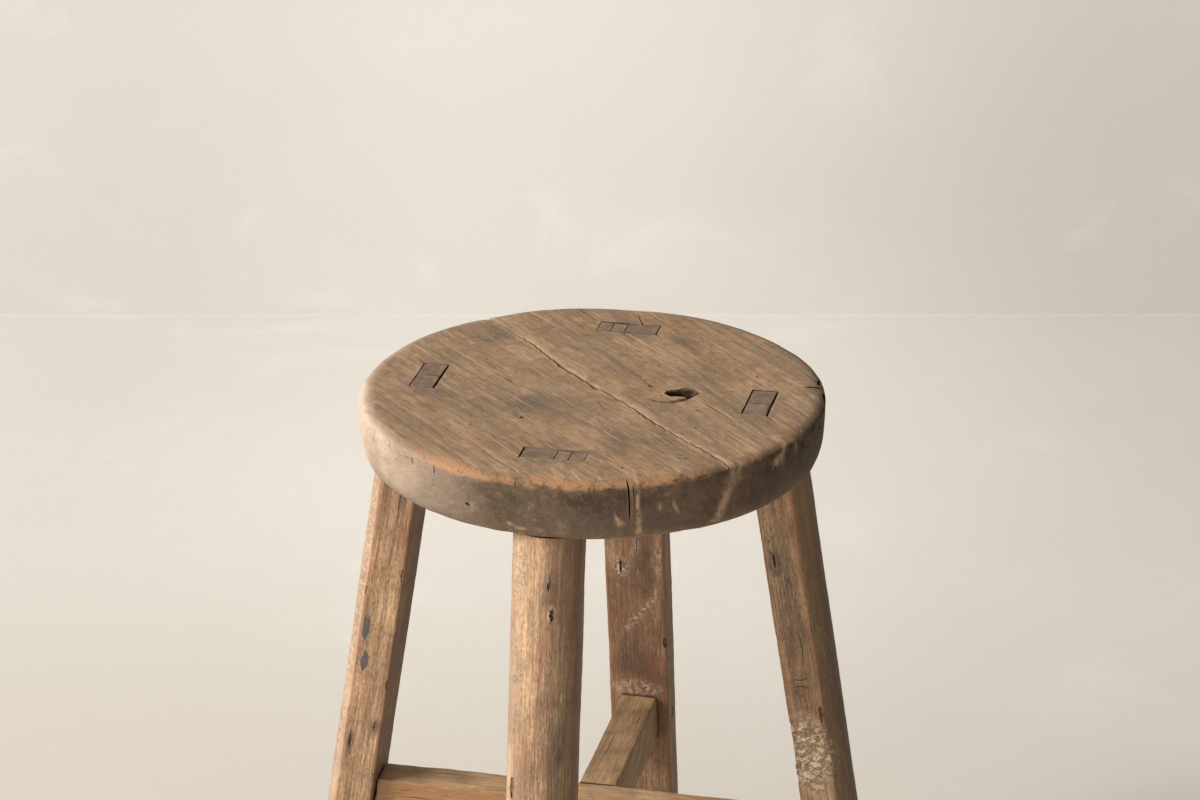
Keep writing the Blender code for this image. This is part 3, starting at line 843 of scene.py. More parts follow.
    rough = ease(tree, cloud, 0.3, 0.7, 0.46, 0.64)
    rough = calc(tree, "ADD", rough, calc(tree, "MULTIPLY", side, 0.2))
    height = calc(tree, "SUBTRACT", grain["Height"], calc(tree, "MULTIPLY", grime, 0.6))
    height = calc(tree, "ADD", height, calc(tree, "MULTIPLY", mottle, 0.6))
    finish_wood(tree, colour, rough, height, 0.8 * MM)
    tree.nodes["Principled BSDF"].inputs["Specular IOR Level"].default_value = 0.35
    return material


dress(seat, seat_wood())
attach(seat, "root")
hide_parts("seat")


# ------------------------------------------------------------------------------------
# Legs. Split and hand-planed elm, flat inside and at the sides and round outside. Each
# ends in a bare-faced tenon that runs up through the seat, with a slot for its wedge, and
# has a mortise in its inner face for a stretcher and a hole across it for a peg.

LEG_WIDTH = 41 * MM
LEG_SIDE_DEPTH = 23 * MM
LEG_ROUND_RADIUS = 26.87 * MM
LEG_ARRIS = 1.6 * MM
BLANK_LENGTH = 540 * MM
BLANK_MIDDLE_Z = 250 * MM
JOINT_GAP = 0.3 * MM
SHOULDER_Z = SEAT_UNDER - JOINT_GAP
TENON_TOP_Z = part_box("leg_right")[1].z
TENON_SUNK = 0.3 * MM
stretcher_low, stretcher_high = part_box("stretcher_side")
STRETCHER_MID_Z = (stretcher_low.z + stretcher_high.z) / 2
RAIL_TENON_THICKNESS = 10 * MM
RAIL_TENON_HEIGHT = 25 * MM
RAIL_TENON_LENGTH = 24 * MM
PEG_RADIUS = 3 * MM
PEG_SETBACK = 12 * MM
# Each wedge sits off the tenon's middle, and has a thickness at its top.
WEDGES = {
    "front": (5.6 * MM, 9.0 * MM),
    "right": (-6.8 * MM, 12.0 * MM),
    "back": (5.7 * MM, 9.5 * MM),
    "left": (1.6 * MM, 5.0 * MM),
}
WEDGE_TAPER = 0.3
WEDGE_POINT_Z = SEAT_UNDER + 8 * MM


def up_leg(z, out=0.0):
    """Where a height above the floor is along a leg's blank, in millimetres."""
    return (z - BLANK_MIDDLE_Z / MM - out * sin(LEG_SPLAY)) / cos(LEG_SPLAY)


def leg_mark(face, path, deepness=2.5):
    """A gouge in a face of the blank, its path (across, height above the floor, width)."""
    azimuth = {"outer": 0, "plus": 90, "inner": 180, "minus": -90}[face]
    reach = {"outer": LEG_DEPTH, "plus": LEG_WIDTH / 2, "inner": 0, "minus": LEG_WIDTH / 2}[face]
    run = [(across, up_leg(z), width) for across, z, width in path]
    return face_outwards(chisel(run, deepness, 0), radians(azimuth), reach)


def leg_dent(x, y, z, size):
    """A ragged dent in the blank, as millimetres out from the inner face, across and up."""
    return pit(x, y, up_leg(z, x), size, ragged=0.5)


# What time did to each leg: gouges (face, path) and dents (x, y, height, size).
LEG_MARKS = {
    "front": (
        [("outer", [(13.5, 340, 0.3), (14.5, 333, 2.2), (15.5, 322, 0.4)]),
         ("outer", [(-13, 392, 0.3), (-9, 384, 1.0), (-5, 378, 0.3)]),
         ("outer", [(-14, 372, 0.3), (-10, 364, 0.9), (-7, 360, 0.2)]),
         ("outer", [(4.0, 434, 0.3), (5.5, 428, 1.3), (5.0, 421, 0.3)])],
        [(31, 7, 411, (3, 5, 8)), (32, 5, 429, (2, 4, 6)), (27, -15, 300, (3, 4, 14))],
    ),
    "right": (
        [("minus", [(3, 322, 0.2), (12, 320.5, 0.9), (21, 323, 0.3)]),
         ("minus", [(2, 315, 0.2), (11, 316.5, 0.8), (20, 314, 0.2)]),
         ("minus", [(15.5, 357, 0.2), (16, 342, 0.9), (15.2, 327, 0.2)]),
         ("outer", [(-10, 380, 0.2), (-9, 350, 0.9), (-10, 330, 0.2)])],
        [(7, -20.5, 403, (5, 1.6, 10)), (1, -20, 349, (4, 3, 9)), (22, -20, 300, (4, 3, 12)),
         (0.5, -20, 276, (4, 3, 9))],
    ),
    "back": (
        [("inner", [(2, 345, 0.2), (2, 338, 1.0), (1, 330, 0.2)]),
         ("inner", [(-12, 400, 0.2), (-11, 380, 0.8), (-12, 362, 0.2)])],
        [(0, 9, 320, (1.6, 5, 12)), (1, 20, 352, (3, 3, 10)), (1, -19, 262, (3, 3, 9))],
    ),
    "left": (
        [("plus", [(-5, 263, 0.2), (-5.5, 258, 1.2), (-5, 253, 0.2)]),
         ("plus", [(-19.5, 254, 0.3), (-20, 244, 1.2), (-19, 233, 0.3)]),
         ("plus", [(-9, 440, 0.2), (-10, 415, 0.8), (-9, 396, 0.2)])],
        [(1, 20, 369, (3, 2.5, 12)), (23, 20, 356, (2.5, 2, 7)), (1, 20, 290, (2.5, 2, 7)),
         (23.5, 20, 268, (2.5, 2, 9)), (0.5, 20, 402, (2, 2, 8))],
    ),
}
# The right leg's near side is rough where it was chopped across the grain.
CHOPPED_LOW = 249
CHOPPED_HIGH = 293
CHOPPED_REACH = 26


def leg_blank(corner):
    """A leg upright in its own frame: inner face at X 0, its middle at Z 0."""
    lift = 2 * list(CORNERS).index(corner)
    put_down_everything()
    bpy.ops.mesh.primitive_cylinder_add(
        vertices=36, radius=LEG_ROUND_RADIUS, depth=BLANK_LENGTH,
        location=(LEG_DEPTH - LEG_ROUND_RADIUS, 0, 0), rotation=(0, 0, radians(5)),
    )
    leg = name_new("worn_leg_" + corner)
    settle(leg)
    edit(leg)
    for place, outwards in (
        ((0, 0, 0), (-1, 0, 0)),
        ((0, LEG_WIDTH / 2, 0), (0, 1, 0)),
        ((0, -LEG_WIDTH / 2, 0), (0, -1, 0)),
    ):
        bpy.ops.mesh.select_all(action="SELECT")
        bpy.ops.mesh.bisect(plane_co=place, plane_no=outwards, use_fill=True, clear_outer=True)
    choose(
        leg,
        "EDGE",
        lambda a, b: abs(a.z - b.z) > 0.5
        and abs(abs(a.y) - LEG_WIDTH / 2) < 0.1 * MM
        and (a.x < 0.1 * MM or a.x > LEG_SIDE_DEPTH - 2 * MM),
    )
    bpy.ops.mesh.bevel(offset=LEG_ARRIS, segments=3, affect="EDGES")
    bpy.ops.object.mode_set(mode="OBJECT")
    leg.data.remesh_voxel_size = 1.7 * MM
    leg.data.remesh_voxel_adaptivity = 0
    pick_up(leg)
    bpy.ops.object.voxel_remesh()
    # Each leg is lifted to other lumps while it is roughened, so no two are alike.
    leg.location = (0, 0, lift)
    settle(leg)
    roughen(leg, 60 * MM, 0.9 * MM)
    roughen(leg, 8 * MM, 0.4 * MM)
    if corner == "right":
        chopped = leg.vertex_groups.new(name="chopped")
        middle = up_leg((CHOPPED_LOW + CHOPPED_HIGH) / 2)
        for vertex in leg.data.vertices:
            inside = 3 * band((vertex.co.z - lift) / MM, middle, CHOPPED_REACH)
            if vertex.co.y < -LEG_WIDTH / 2 + 3 * MM and inside > 0:
                chopped.add([vertex.index], min(1.0, inside), "REPLACE")
        roughen(leg, 3.0 * MM, 3.6 * MM, rest=0.7, group="chopped")
        leg.vertex_groups.clear()
    leg.location = (0, 0, -lift)
    settle(leg)
    return leg


def block(name, low, high):
    """A plain block between two corners."""
    put_down_everything()
    bpy.ops.mesh.primitive_cube_add(size=1)
    piece = name_new(name)
    piece.scale = [b - a for a, b in zip(low, high)]
    piece.location = [(a + b) / 2 for a, b in zip(low, high)]
    settle(piece)
    return piece


def peg_drill(x):
    """A round bar across a leg or a stretcher's tenon, to cut a peg's hole with."""
    put_down_everything()
    bpy.ops.mesh.primitive_cylinder_add(
        vertices=32, radius=PEG_RADIUS + JOINT_GAP, depth=60 * MM,
        location=(x, 0, STRETCHER_MID_Z), rotation=(pi / 2, 0, 0),
    )
    drill = name_new("peg_drill")
    settle(drill)
    return drill


def finish_leg(leg, corner):
    """Stands a marked blank in its place and cuts its foot, tenon, slot and holes."""
    leg.location = (inner_face(BLANK_MIDDLE_Z), 0, BLANK_MIDDLE_Z)
    leg.rotation_euler = (0, -LEG_SPLAY, 0)
    settle(leg)
    edit(leg)
    for z, upwards in ((0, -1), (TENON_TOP_Z - TENON_SUNK, 1)):
        bpy.ops.mesh.select_all(action="SELECT")
        bpy.ops.mesh.bisect(
            plane_co=(0, 0, z), plane_no=(0, 0, upwards), use_fill=True, clear_outer=True,
            threshold=0.001 * MM,
        )
    bpy.ops.object.mode_set(mode="OBJECT")
    half = TENON_WIDTH / 2
    waste = slanting_block(
        "waste", -20 * MM, 60 * MM, -30 * MM, 30 * MM, SHOULDER_Z, SEAT_TOP + 10 * MM
    )
    tenon = slanting_block(
        "tenon", -30 * MM, TENON_THICKNESS, -half, half, SHOULDER_Z - 10 * MM,
        SEAT_TOP + 20 * MM,
    )
    cut_away(waste, tenon)
    cut_away(leg, waste)
    cut_away(leg, wedge_blank(corner, 0.15 * MM, SEAT_TOP + 10 * MM, -5 * MM))
    face = inner_face(STRETCHER_MID_Z)
    half = RAIL_TENON_THICKNESS / 2 + JOINT_GAP
    rise = RAIL_TENON_HEIGHT / 2 + JOINT_GAP
    depth = RAIL_TENON_LENGTH + JOINT_GAP
    cut_away(leg, block(
        "stretcher_mortise",
        (face - 35.7 * MM, -half, STRETCHER_MID_Z - rise),
        (face + depth, half, STRETCHER_MID_Z + rise),
    ))
    cut_away(leg, peg_drill(face + PEG_SETBACK))
    leg.rotation_euler.z = CORNERS[corner]
    settle(leg)


def wedge_blank(corner, spare, top, overrun):
    """A wedge, grown by a spare on both sides, up to a height, in the right leg's place."""
    offset, thickness = WEDGES[corner]
    taper = thickness * (1 - WEDGE_TAPER) / (TENON_TOP_Z - WEDGE_POINT_Z)
    wedge = slanting_block(
        "wedge", overrun, TENON_THICKNESS - overrun, offset - MM, offset + MM,
        WEDGE_POINT_Z - spare, top,
    )
    edit(wedge)
    for z in (WEDGE_POINT_Z - spare, top):
        half = (thickness - taper * (TENON_TOP_Z - z)) / 2 + spare
        choose(wedge, "VERT", lambda co: abs(co.z - z) < 0.01 * MM)
        bpy.ops.transform.resize(value=(1, half / MM, 1), center_override=(0, offset, 0))
    bpy.ops.object.mode_set(mode="OBJECT")
    return wedge


# Stains on the legs, as millimetres out from the inner face, across it and up, with the
# reach of each along and across the leg and its strength; light ones are scraped wood.
LEG_STAINS = {
    "front": [(30, 14, 330, 14, 5, 0.9), (31, 5, 428, 12, 6, 0.6), (30, 9, 300, 60, 5, 0.4)],
    "right": [(7, -20, 403, 14, 5, 0.8), (12, -20, 350, 60, 8, 0.45), (30, 0, 330, 90, 14, 0.5)],
    "back": [(0, -6, 316, 22, 8, 0.6), (0, 3, 248, 20, 9, 0.6), (0, 0, 400, 70, 16, 0.35)],
    "left": [(8, 20, 427, 12, 4, 0.7), (5, 20, 258, 7, 3, 1.0), (20, 20, 244, 12, 2.5, 1.0),
             (0, -8, 380, 120, 12, 0.4)],
}
LEG_INK = {
    "front": [], "right": [], "back": [],
    "left": [(19.5, 20, 331, 10, 2.4, 1.0), (18, 20, 306, 7, 2.4, 1.0)],
}
LEG_SCRAPED = {
    "front": [(26, -14, 440, 30, 8, 0.35), (28, -12, 380, 40, 5, 0.25), (32, 7, 411, 6, 3, 0.6)],
    "right": [(10, -20, 271, 26, 15, 1.0)],
    "back": [(0, 9, 320, 8, 5, 0.9), (0, -2, 338, 6, 2, 0.7), (0, -17, 328, 14, 3, 0.6),
             (0, 0, 222, 7, 16, 0.5), (0, 6, 272, 4, 1.8, 0.6), (0, 3, 275.5, 4, 1.8, 0.6),
             (0, 0, 279, 4, 1.8, 0.6), (0, -3, 283, 4, 1.8, 0.6), (0, -6, 287, 4, 1.9, 0.6),
             (0, -9, 291, 4, 2.0, 0.6), (0, -12, 295, 4, 2.0, 0.6), (0, -15, 299, 4, 2.0, 0.6)],
    "left": [(28, 12, 350, 160, 7, 0.5)],
}


def out_of_leg(co):
    """How far out from the right leg's inner face a point is, in millimetres."""
    return (co.x - inner_face(co.z)) * cos(LEG_SPLAY) / MM


def leg_rule(places):
    """A rule for painting, from marks on a leg that stands at the right."""
    def amount(co):
        total = 0.0
        out = out_of_leg(co)
        for x, y, z, along, across, strength in places:
            away = hypot((co.z / MM - z) / along, hypot(out - x, co.y / MM - y) / across)
            total = max(total, strength * max(0.0, min(1.0, 2.2 - 1.8 * away)))
        return total
    return amount


# Painted light and shade on each leg: how far towards a painted highlight (1) or painted
# shade (-1) a point is, lighter on faces towards the window and darker on faces turned
# away, from how far out and across it a point is, in millimetres.
LEG_LIGHT_AND_SHADE = {
    "front": lambda out, y: (0.42 if y < 0 else 0.95) * -y / 19 * min(1.0, out / 20),
    "right": lambda out, y: -0.9 * min(1.0, max(0.0, out - 22.5) / 1.2),
    "back": lambda out, y: -0.3 * min(1.0, max(0.0, out - 2) / 2),
    "left": lambda out, y: 0.45 * min(1.0, max(0.0, out - 23.2) / 1.0),
}
ARRIS_WEAR = 2.0  # how far from an arris its rubbed edge reaches, in millimetres


def leg_light_and_shade(corner):
    """A leg's painted light and shade as a rule for painting: 0 is painted shade, 0.5 plain and 1
    painted highlight.
    """
    def amount(co):
        return 0.5 + 0.5 * LEG_LIGHT_AND_SHADE[corner](out_of_leg(co), co.y / MM)
    return amount


def leg_arris(co):
    """How near a point is to one of a leg's four long arrises."""
    if co.z > SEAT_UNDER:
        return 0.0
    out = out_of_leg(co)
    across = abs(co.y) / MM - LEG_WIDTH / 2 / MM
    inner = hypot(out, across)
    outer = hypot(out - LEG_SIDE_DEPTH / MM, across)
    return max(1 - inner / ARRIS_WEAR, 0.8 - outer / ARRIS_WEAR)


def leg_wood():
    """Elm worn yellow outside, red brown inside, with painted light and shade, rubbed arrises and
    scars.
    """
    brown, yellow = (0.262, 0.140, 0.067, 1), (0.50, 0.308, 0.168, 1)
    ring_brown, red_brown = (0.18, 0.098, 0.052, 1), (0.25, 0.105, 0.055, 1)
    inner_red = (0.175, 0.085, 0.055, 1)
    painted_highlight_tone, painted_shade_tone = (0.66, 0.475, 0.335, 1), (0.150, 0.088, 0.040, 1)
    stain_brown, scraped_pale = (0.085, 0.055, 0.038, 1), (0.68, 0.50, 0.34, 1)
    ink_grey = (0.060, 0.066, 0.066, 1)
    end_dark, end_light = (0.15, 0.100, 0.068, 1), (0.26, 0.172, 0.112, 1)
    arris_red, chip_dark = (0.33, 0.140, 0.066, 1), (0.06, 0.035, 0.022, 1)
    scratch_pale, dirt_dark = (0.60, 0.44, 0.30, 1), (0.035, 0.022, 0.014, 1)
    material, tree, board, grain, edges = start_wood("leg_wood", 4.2 * MM, 5 * MM, 3.2 * MM)

    # The board's own colour: clouds, streaks, fibres, speckles, rings and red patches.
    cloud = noise(tree, board, (14, 46, 46), 6.0, 0.68, 0.4)
    speckle = noise(tree, board, (330, 620, 620), 3.0, 0.65)
    crumbs = noise(tree, board, (60, 150, 150), 5.0, 0.7, 0.4)
    streaks = noise(tree, board, (9, 210, 210), 4.0, 0.6)
    colour = blend(tree, ease(tree, cloud, 0.32, 0.68), brown, yellow)
    colour = blend(tree, 1.0, colour, ease(tree, streaks, 0.3, 0.7, 0.72, 1.2), "MULTIPLY")
    fibre = ease(tree, grain["Fibre"], 0.3, 0.7, 0.66, 1.28)
    colour = blend(tree, 1.0, colour, fibre, "MULTIPLY")
    colour = blend(tree, 1.0, colour, ease(tree, speckle, 0.3, 0.7, 0.74, 1.2), "MULTIPLY")
    colour = blend(tree, calc(tree, "MULTIPLY", grain["Rings"], 0.4), colour, ring_brown)
    red = noise(tree, board, (10, 60, 60), 3.0, 0.6)
    colour = blend(tree, ease(tree, red, 0.5, 0.7, 0.0, 0.5), colour, red_brown)

    # Red brown on the inner face. Painted light and shade: a painted highlight on the faces
    # towards the window, and painted shade on the faces turned away.
    inner = calc(tree, "MULTIPLY", mask(tree, "inner"), ease(tree, cloud, 0.62, 0.35, 0.3, 0.85))
    colour = blend(tree, inner, colour, inner_red)
    tone = mask(tree, "tone")
    pale_highlight = ease(tree, tone, 0.5, 1.0)
    pale_highlight = calc(tree, "MULTIPLY", pale_highlight, ease(tree, crumbs, 0.25, 0.5, 0.6, 1))
    colour = blend(tree, pale_highlight, colour, painted_highlight_tone)
    colour = blend(tree, ease(tree, tone, 0.5, 0.0, 0.0, 0.75), colour, painted_shade_tone)

    # Stains, scrapes, two spots of ink, and the tenon's end grain.
    stain = calc(tree, "MULTIPLY", mask(tree, "stain"), ease(tree, crumbs, 0.62, 0.38, 0.4, 1.0))
    colour = blend(tree, stain, colour, stain_brown)
    scraped = noise(tree, board, (330, 260, 260), 4.0, 0.7, 0.6)
    scraped = calc(tree, "MULTIPLY", mask(tree, "scraped"), ease(tree, scraped, 0.42, 0.55))
    colour = blend(tree, scraped, colour, scraped_pale)
    ink = calc(tree, "MULTIPLY", mask(tree, "ink"), ease(tree, crumbs, 0.36, 0.60, 0.1, 1.6))
    colour = blend(tree, ease(tree, ink, 0.35, 0.55, 0.0, 0.9), colour, ink_grey)
    end_tone = blend(tree, ease(tree, crumbs, 0.35, 0.65), end_dark, end_light)
    colour = blend(tree, mask(tree, "end"), colour, end_tone)

    # Arrises rubbed to red wood, with dark chips in them.
    arris = calc(tree, "MULTIPLY", mask(tree, "arris"), ease(tree, crumbs, 0.3, 0.55, 0.7, 2.0))
    colour = blend(tree, ease(tree, arris, 0.1, 0.8, 0.0, 0.62), colour, arris_red)
    chips = calc(tree, "MULTIPLY", mask(tree, "arris"), ease(tree, crumbs, 0.44, 0.36, 0.0, 1.0))
    colour = blend(tree, ease(tree, chips, 0.15, 0.5), colour, chip_dark)

    # Fine scratches, open pores, and dirt in every crack.
    colour = blend(tree, calc(tree, "MULTIPLY", grain["Scratches"], 0.55), colour, scratch_pale)
    colour = blend(tree, calc(tree, "MULTIPLY", grain["Pores"], 0.7), colour, chip_dark)
    colour = blend(tree, edges["Dirt"], colour, dirt_dark)

    rough = ease(tree, cloud, 0.3, 0.7, 0.48, 0.68)
    height = calc(tree, "ADD", grain["Height"], calc(tree, "MULTIPLY", scraped, 1.2))
    height = calc(tree, "ADD", height, calc(tree, "MULTIPLY", speckle, 0.5))
    finish_wood(tree, colour, rough, height, 0.7 * MM)
    return material


def from_the_right(rule, azimuth):
    """A rule about the right leg, made to work on the leg at an azimuth."""
    def amount(co):
        x = co.x * cos(azimuth) + co.y * sin(azimuth)
        y = co.y * cos(azimuth) - co.x * sin(azimuth)
        return rule(Vector((x, y, co.z)))
    return amount


wood = leg_wood()
for corner, azimuth in CORNERS.items():
    leg = leg_blank(corner)
    gouges, dents = LEG_MARKS[corner]
    cut_away(leg, *[leg_mark(face, path) for face, path in gouges])
    cut_away(leg, *[leg_dent(*dent) for dent in dents])
    finish_leg(leg, corner)
    rules = {
        "stain": leg_rule(LEG_STAINS[corner]),
        "ink": leg_rule(LEG_INK[corner]),
        "scraped": leg_rule(LEG_SCRAPED[corner]),
        "inner": lambda co: 1 - out_of_leg(co) / 2.5,
        "tone": leg_light_and_shade(corner),
        "arris": leg_arris,
        "end": lambda co: (co.z - SEAT_UNDER) / (5 * MM),
    }
    for name, rule in rules.items():
        paint(leg, name, from_the_right(rule, azimuth))
    outwards = Vector((cos(azimuth), sin(azimuth), 0))
    along = Vector((0, 0, cos(LEG_SPLAY))) - outwards * sin(LEG_SPLAY)
    shift = 1.7 * (1 + list(CORNERS).index(corner))
    lay_grain(leg, along, outwards, (shift, 0.02, -0.20))
    dress(leg, wood)
    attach(leg, "root")
    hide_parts("leg_" + corner)


# ------------------------------------------------------------------------------------
# Wedges. Split hardwood, driven into the slot in each tenon's end until the tenon filled
# its mortise, then cut off level. Each joiner's wedge came out another thickness.

def wedge_wood():
    """Grey-brown hardwood end grain."""
    dark, light = (0.175, 0.120, 0.078, 1), (0.30, 0.205, 0.130, 1)
    ring_brown, dirt_dark = (0.16, 0.10, 0.06, 1), (0.05, 0.032, 0.02, 1)
    material, tree, board, grain, edges = start_wood("wedge_wood", 2.5 * MM, 2 * MM, 1.5 * MM)
    cloud = noise(tree, board, (90, 90, 90), 4.0, 0.6)
    colour = blend(tree, ease(tree, cloud, 0.3, 0.7), dark, light)
    colour = blend(tree, calc(tree, "MULTIPLY", grain["Rings"], 0.5), colour, ring_brown)
    fibre = ease(tree, grain["Fibre"], 0.3, 0.7, 0.75, 1.15)
    colour = blend(tree, 1.0, colour, fibre, "MULTIPLY")
    colour = blend(tree, edges["Dirt"], colour, dirt_dark)
    rough = ease(tree, cloud, 0.3, 0.7, 0.5, 0.7)
    finish_wood(tree, colour, rough, grain["Height"], 0.4 * MM)
    return material


wood = wedge_wood()
for corner, azimuth in CORNERS.items():
    wedge = wedge_blank(corner, -0.15 * MM, TENON_TOP_Z - 0.15 * MM, 0.2 * MM)
    wedge.name = "split_wedge_" + corner
    edit(wedge)
    bpy.ops.mesh.select_all(action="SELECT")
    bpy.ops.mesh.bevel(offset=0.5 * MM, segments=2, affect="EDGES")
    bpy.ops.mesh.select_all(action="SELECT")
    bpy.ops.mesh.subdivide(number_cuts=7)
    bpy.ops.object.mode_set(mode="OBJECT")
    roughen(wedge, 4 * MM, 0.4 * MM, rest=0.8)
    wedge.rotation_euler.z = azimuth
    settle(wedge)
    shift = 0.9 * (1 + list(CORNERS).index(corner))
    lay_grain(wedge, Vector((0, 0, 1)), Vector((cos(azimuth), sin(azimuth), 0)), (shift, 0, 0))
    dress(wedge, wood)
    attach(wedge, "root")
    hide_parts("wedge_" + corner)


# ------------------------------------------------------------------------------------
# Stretchers. Two sawn elm rails, weathered straw brown, tenoned into the legs and half
# lapped where they cross: the side one is notched from below, the cross one from above.

STRETCHER_WIDTH = 25 * MM
STRETCHER_HEIGHT = 35 * MM
STRETCHER_ARRIS = 1.8 * MM
STRETCHER_TOP_Z = STRETCHER_MID_Z + STRETCHER_HEIGHT / 2
STRETCHER_LOW_Z = STRETCHER_MID_Z - STRETCHER_HEIGHT / 2
# Gouges in the rails' faces: top ones run (along, across, width); the side ones run
# (along, height, width), on the face towards the front for the side rail.
RAIL_MARKS = {
    "side": [
        ("top", [(52, -7, 0.4), (58, -9.5, 3.0), (66, -8.0, 0.5)]),
        ("top", [(-110, 4, 0.3), (-92, 5, 0.9), (-70, 4, 0.3)]),
        ("face", [(-130, 205, 0.3), (-115, 206, 1.0), (-98, 205, 0.3)]),
    ],
    "cross": [
        ("top", [(40, 5, 0.3), (66, 4, 0.9), (92, 5, 0.3)]),
        ("top", [(90, -8, 0.3), (105, -7, 0.8), (125, -8, 0.3)]),
        ("face", [(60, 206, 0.3), (80, 204, 1.0), (105, 206, 0.3)]),
    ],
}


def rail(name, notch_low, notch_high):
    """A rail along X, its ends slanted to meet the legs, tenoned and notched."""
    half = STRETCHER_WIDTH / 2
    piece = block(name, (-MM, -half, STRETCHER_LOW_Z), (MM, half, STRETCHER_TOP_Z))
    edit(piece)
    for z in (STRETCHER_LOW_Z, STRETCHER_TOP_Z):
        for way in (-1, 1):
            choose(piece, "VERT", lambda co: abs(co.z - z) < 0.01 * MM and co.x * way > 0)
            reach = inner_face(z) - JOINT_GAP - MM
            bpy.ops.transform.translate(value=(way * reach, 0, 0))
    choose(piece, "EDGE", lambda a, b: abs(a.x - b.x) > 0.1)
    bpy.ops.mesh.bevel(offset=STRETCHER_ARRIS, segments=3, affect="EDGES")
    bpy.ops.object.mode_set(mode="OBJECT")
    piece.data.remesh_voxel_size = 1.6 * MM
    pick_up(piece)
    bpy.ops.object.voxel_remesh()
    roughen(piece, 38 * MM, 1.3 * MM)
    roughen(piece, 7 * MM, 0.5 * MM)
    tools = []
    for face, path in RAIL_MARKS[name]:
        if face == "top":
            tools.append(chisel(path, 3, STRETCHER_TOP_Z))
        else:
            tools.append(face_outwards(chisel(path, 3, 0), -pi / 2, half))
    cut_away(piece, *tools)
    reach = inner_face(STRETCHER_MID_Z) + RAIL_TENON_LENGTH
    thick = RAIL_TENON_THICKNESS / 2
    rise = RAIL_TENON_HEIGHT / 2
    tenons = block(
        "tenons", (-reach, -thick, STRETCHER_MID_Z - rise), (reach, thick, STRETCHER_MID_Z + rise)
    )
    use_modifier(piece, "BOOLEAN", operation="UNION", solver="EXACT", object=tenons)
    bpy.data.objects.remove(tenons)
    gap = half + 0.5 * MM
    cut_away(piece, block("notch", (-gap, -0.03, notch_low), (gap, 0.03, notch_high)))
    setback = inner_face(STRETCHER_MID_Z) + PEG_SETBACK
    cut_away(piece, *[peg_drill(way * setback) for way in (-1, 1)])
    piece.name = "weathered_stretcher_" + name
    return piece


def stretcher_wood():
    """Elm weathered to straw brown, with the side rail's front face rubbed orange."""
    brown, straw = (0.30, 0.175, 0.080, 1), (0.52, 0.335, 0.180, 1)
    ring_brown, worn_edge = (0.20, 0.11, 0.055, 1), (0.50, 0.29, 0.15, 1)
    orange_brown, scratch_pale = (0.33, 0.165, 0.068, 1), (0.58, 0.43, 0.29, 1)
    pore_dark, dirt_dark = (0.08, 0.05, 0.03, 1), (0.045, 0.028, 0.018, 1)
    material, tree, board, grain, edges = start_wood("stretcher_wood", 3.4 * MM, 4 * MM, 3 * MM)
    cloud = noise(tree, board, (18, 50, 50), 5.0, 0.65, 0.4)
    colour = blend(tree, ease(tree, cloud, 0.3, 0.7), brown, straw)
    fibre = ease(tree, grain["Fibre"], 0.3, 0.7, 0.72, 1.2)
    colour = blend(tree, 1.0, colour, fibre, "MULTIPLY")
    colour = blend(tree, calc(tree, "MULTIPLY", grain["Rings"], 0.45), colour, ring_brown)
    colour = blend(tree, calc(tree, "MULTIPLY", edges["Wear"], 0.5), colour, worn_edge)
    orange = calc(tree, "MULTIPLY", mask(tree, "orange"), ease(tree, cloud, 0.25, 0.6, 0.6, 1.0))
    colour = blend(tree, orange, colour, orange_brown)
    colour = blend(tree, calc(tree, "MULTIPLY", grain["Scratches"], 0.4), colour, scratch_pale)
    colour = blend(tree, calc(tree, "MULTIPLY", grain["Pores"], 0.6), colour, pore_dark)
    colour = blend(tree, edges["Dirt"], colour, dirt_dark)
    rough = ease(tree, cloud, 0.3, 0.7, 0.55, 0.75)
    finish_wood(tree, colour, rough, grain["Height"], 0.6 * MM)
    return material


wood = stretcher_wood()
side_rail = rail("side", STRETCHER_LOW_Z - 10 * MM, STRETCHER_MID_Z + 0.15 * MM)
cross_rail = rail("cross", STRETCHER_MID_Z - 0.15 * MM, STRETCHER_TOP_Z + 10 * MM)
cross_rail.rotation_euler.z = pi / 2
settle(cross_rail)
for piece, name, along in (
    (side_rail, "stretcher_side", Vector((1, 0, 0))),
    (cross_rail, "stretcher_cross", Vector((0, 1, 0))),
):
    shift = 4.1 if piece is side_rail else 6.3
    rubbed = 1.0 if piece is side_rail else 0.0
    paint(piece, "orange", lambda co: rubbed * (-co.y / MM - 10.5) / 1.5)
    lay_grain(piece, along, Vector((0, 0, 1)), (shift, 0.03, -0.30))
    dress(piece, wood)
    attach(piece, "root")
    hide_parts(name)


# ------------------------------------------------------------------------------------
# Pegs. Whittled round, driven across each leg through the stretcher's tenon and trimmed
# just below the leg's sides, so only their end grain shows.

def peg_wood():
    """End grain of a split hardwood peg."""
    brown, straw = (0.27, 0.165, 0.090, 1), (0.42, 0.28, 0.17, 1)
    ring_brown, dirt_dark = (0.15, 0.09, 0.05, 1), (0.05, 0.03, 0.02, 1)
    material, tree, board, grain, edges = start_wood("peg_wood", 1.6 * MM, 1 * MM, 1 * MM)
    cloud = noise(tree, board, (200, 200, 200), 4.0, 0.6)
    colour = blend(tree, ease(tree, cloud, 0.3, 0.7), brown, straw)
    colour = blend(tree, calc(tree, "MULTIPLY", grain["Rings"], 0.5), colour, ring_brown)
    colour = blend(tree, edges["Dirt"], colour, dirt_dark)
    rough = ease(tree, cloud, 0.3, 0.7, 0.5, 0.7)
    finish_wood(tree, colour, rough, grain["Height"], 0.3 * MM)
    return material


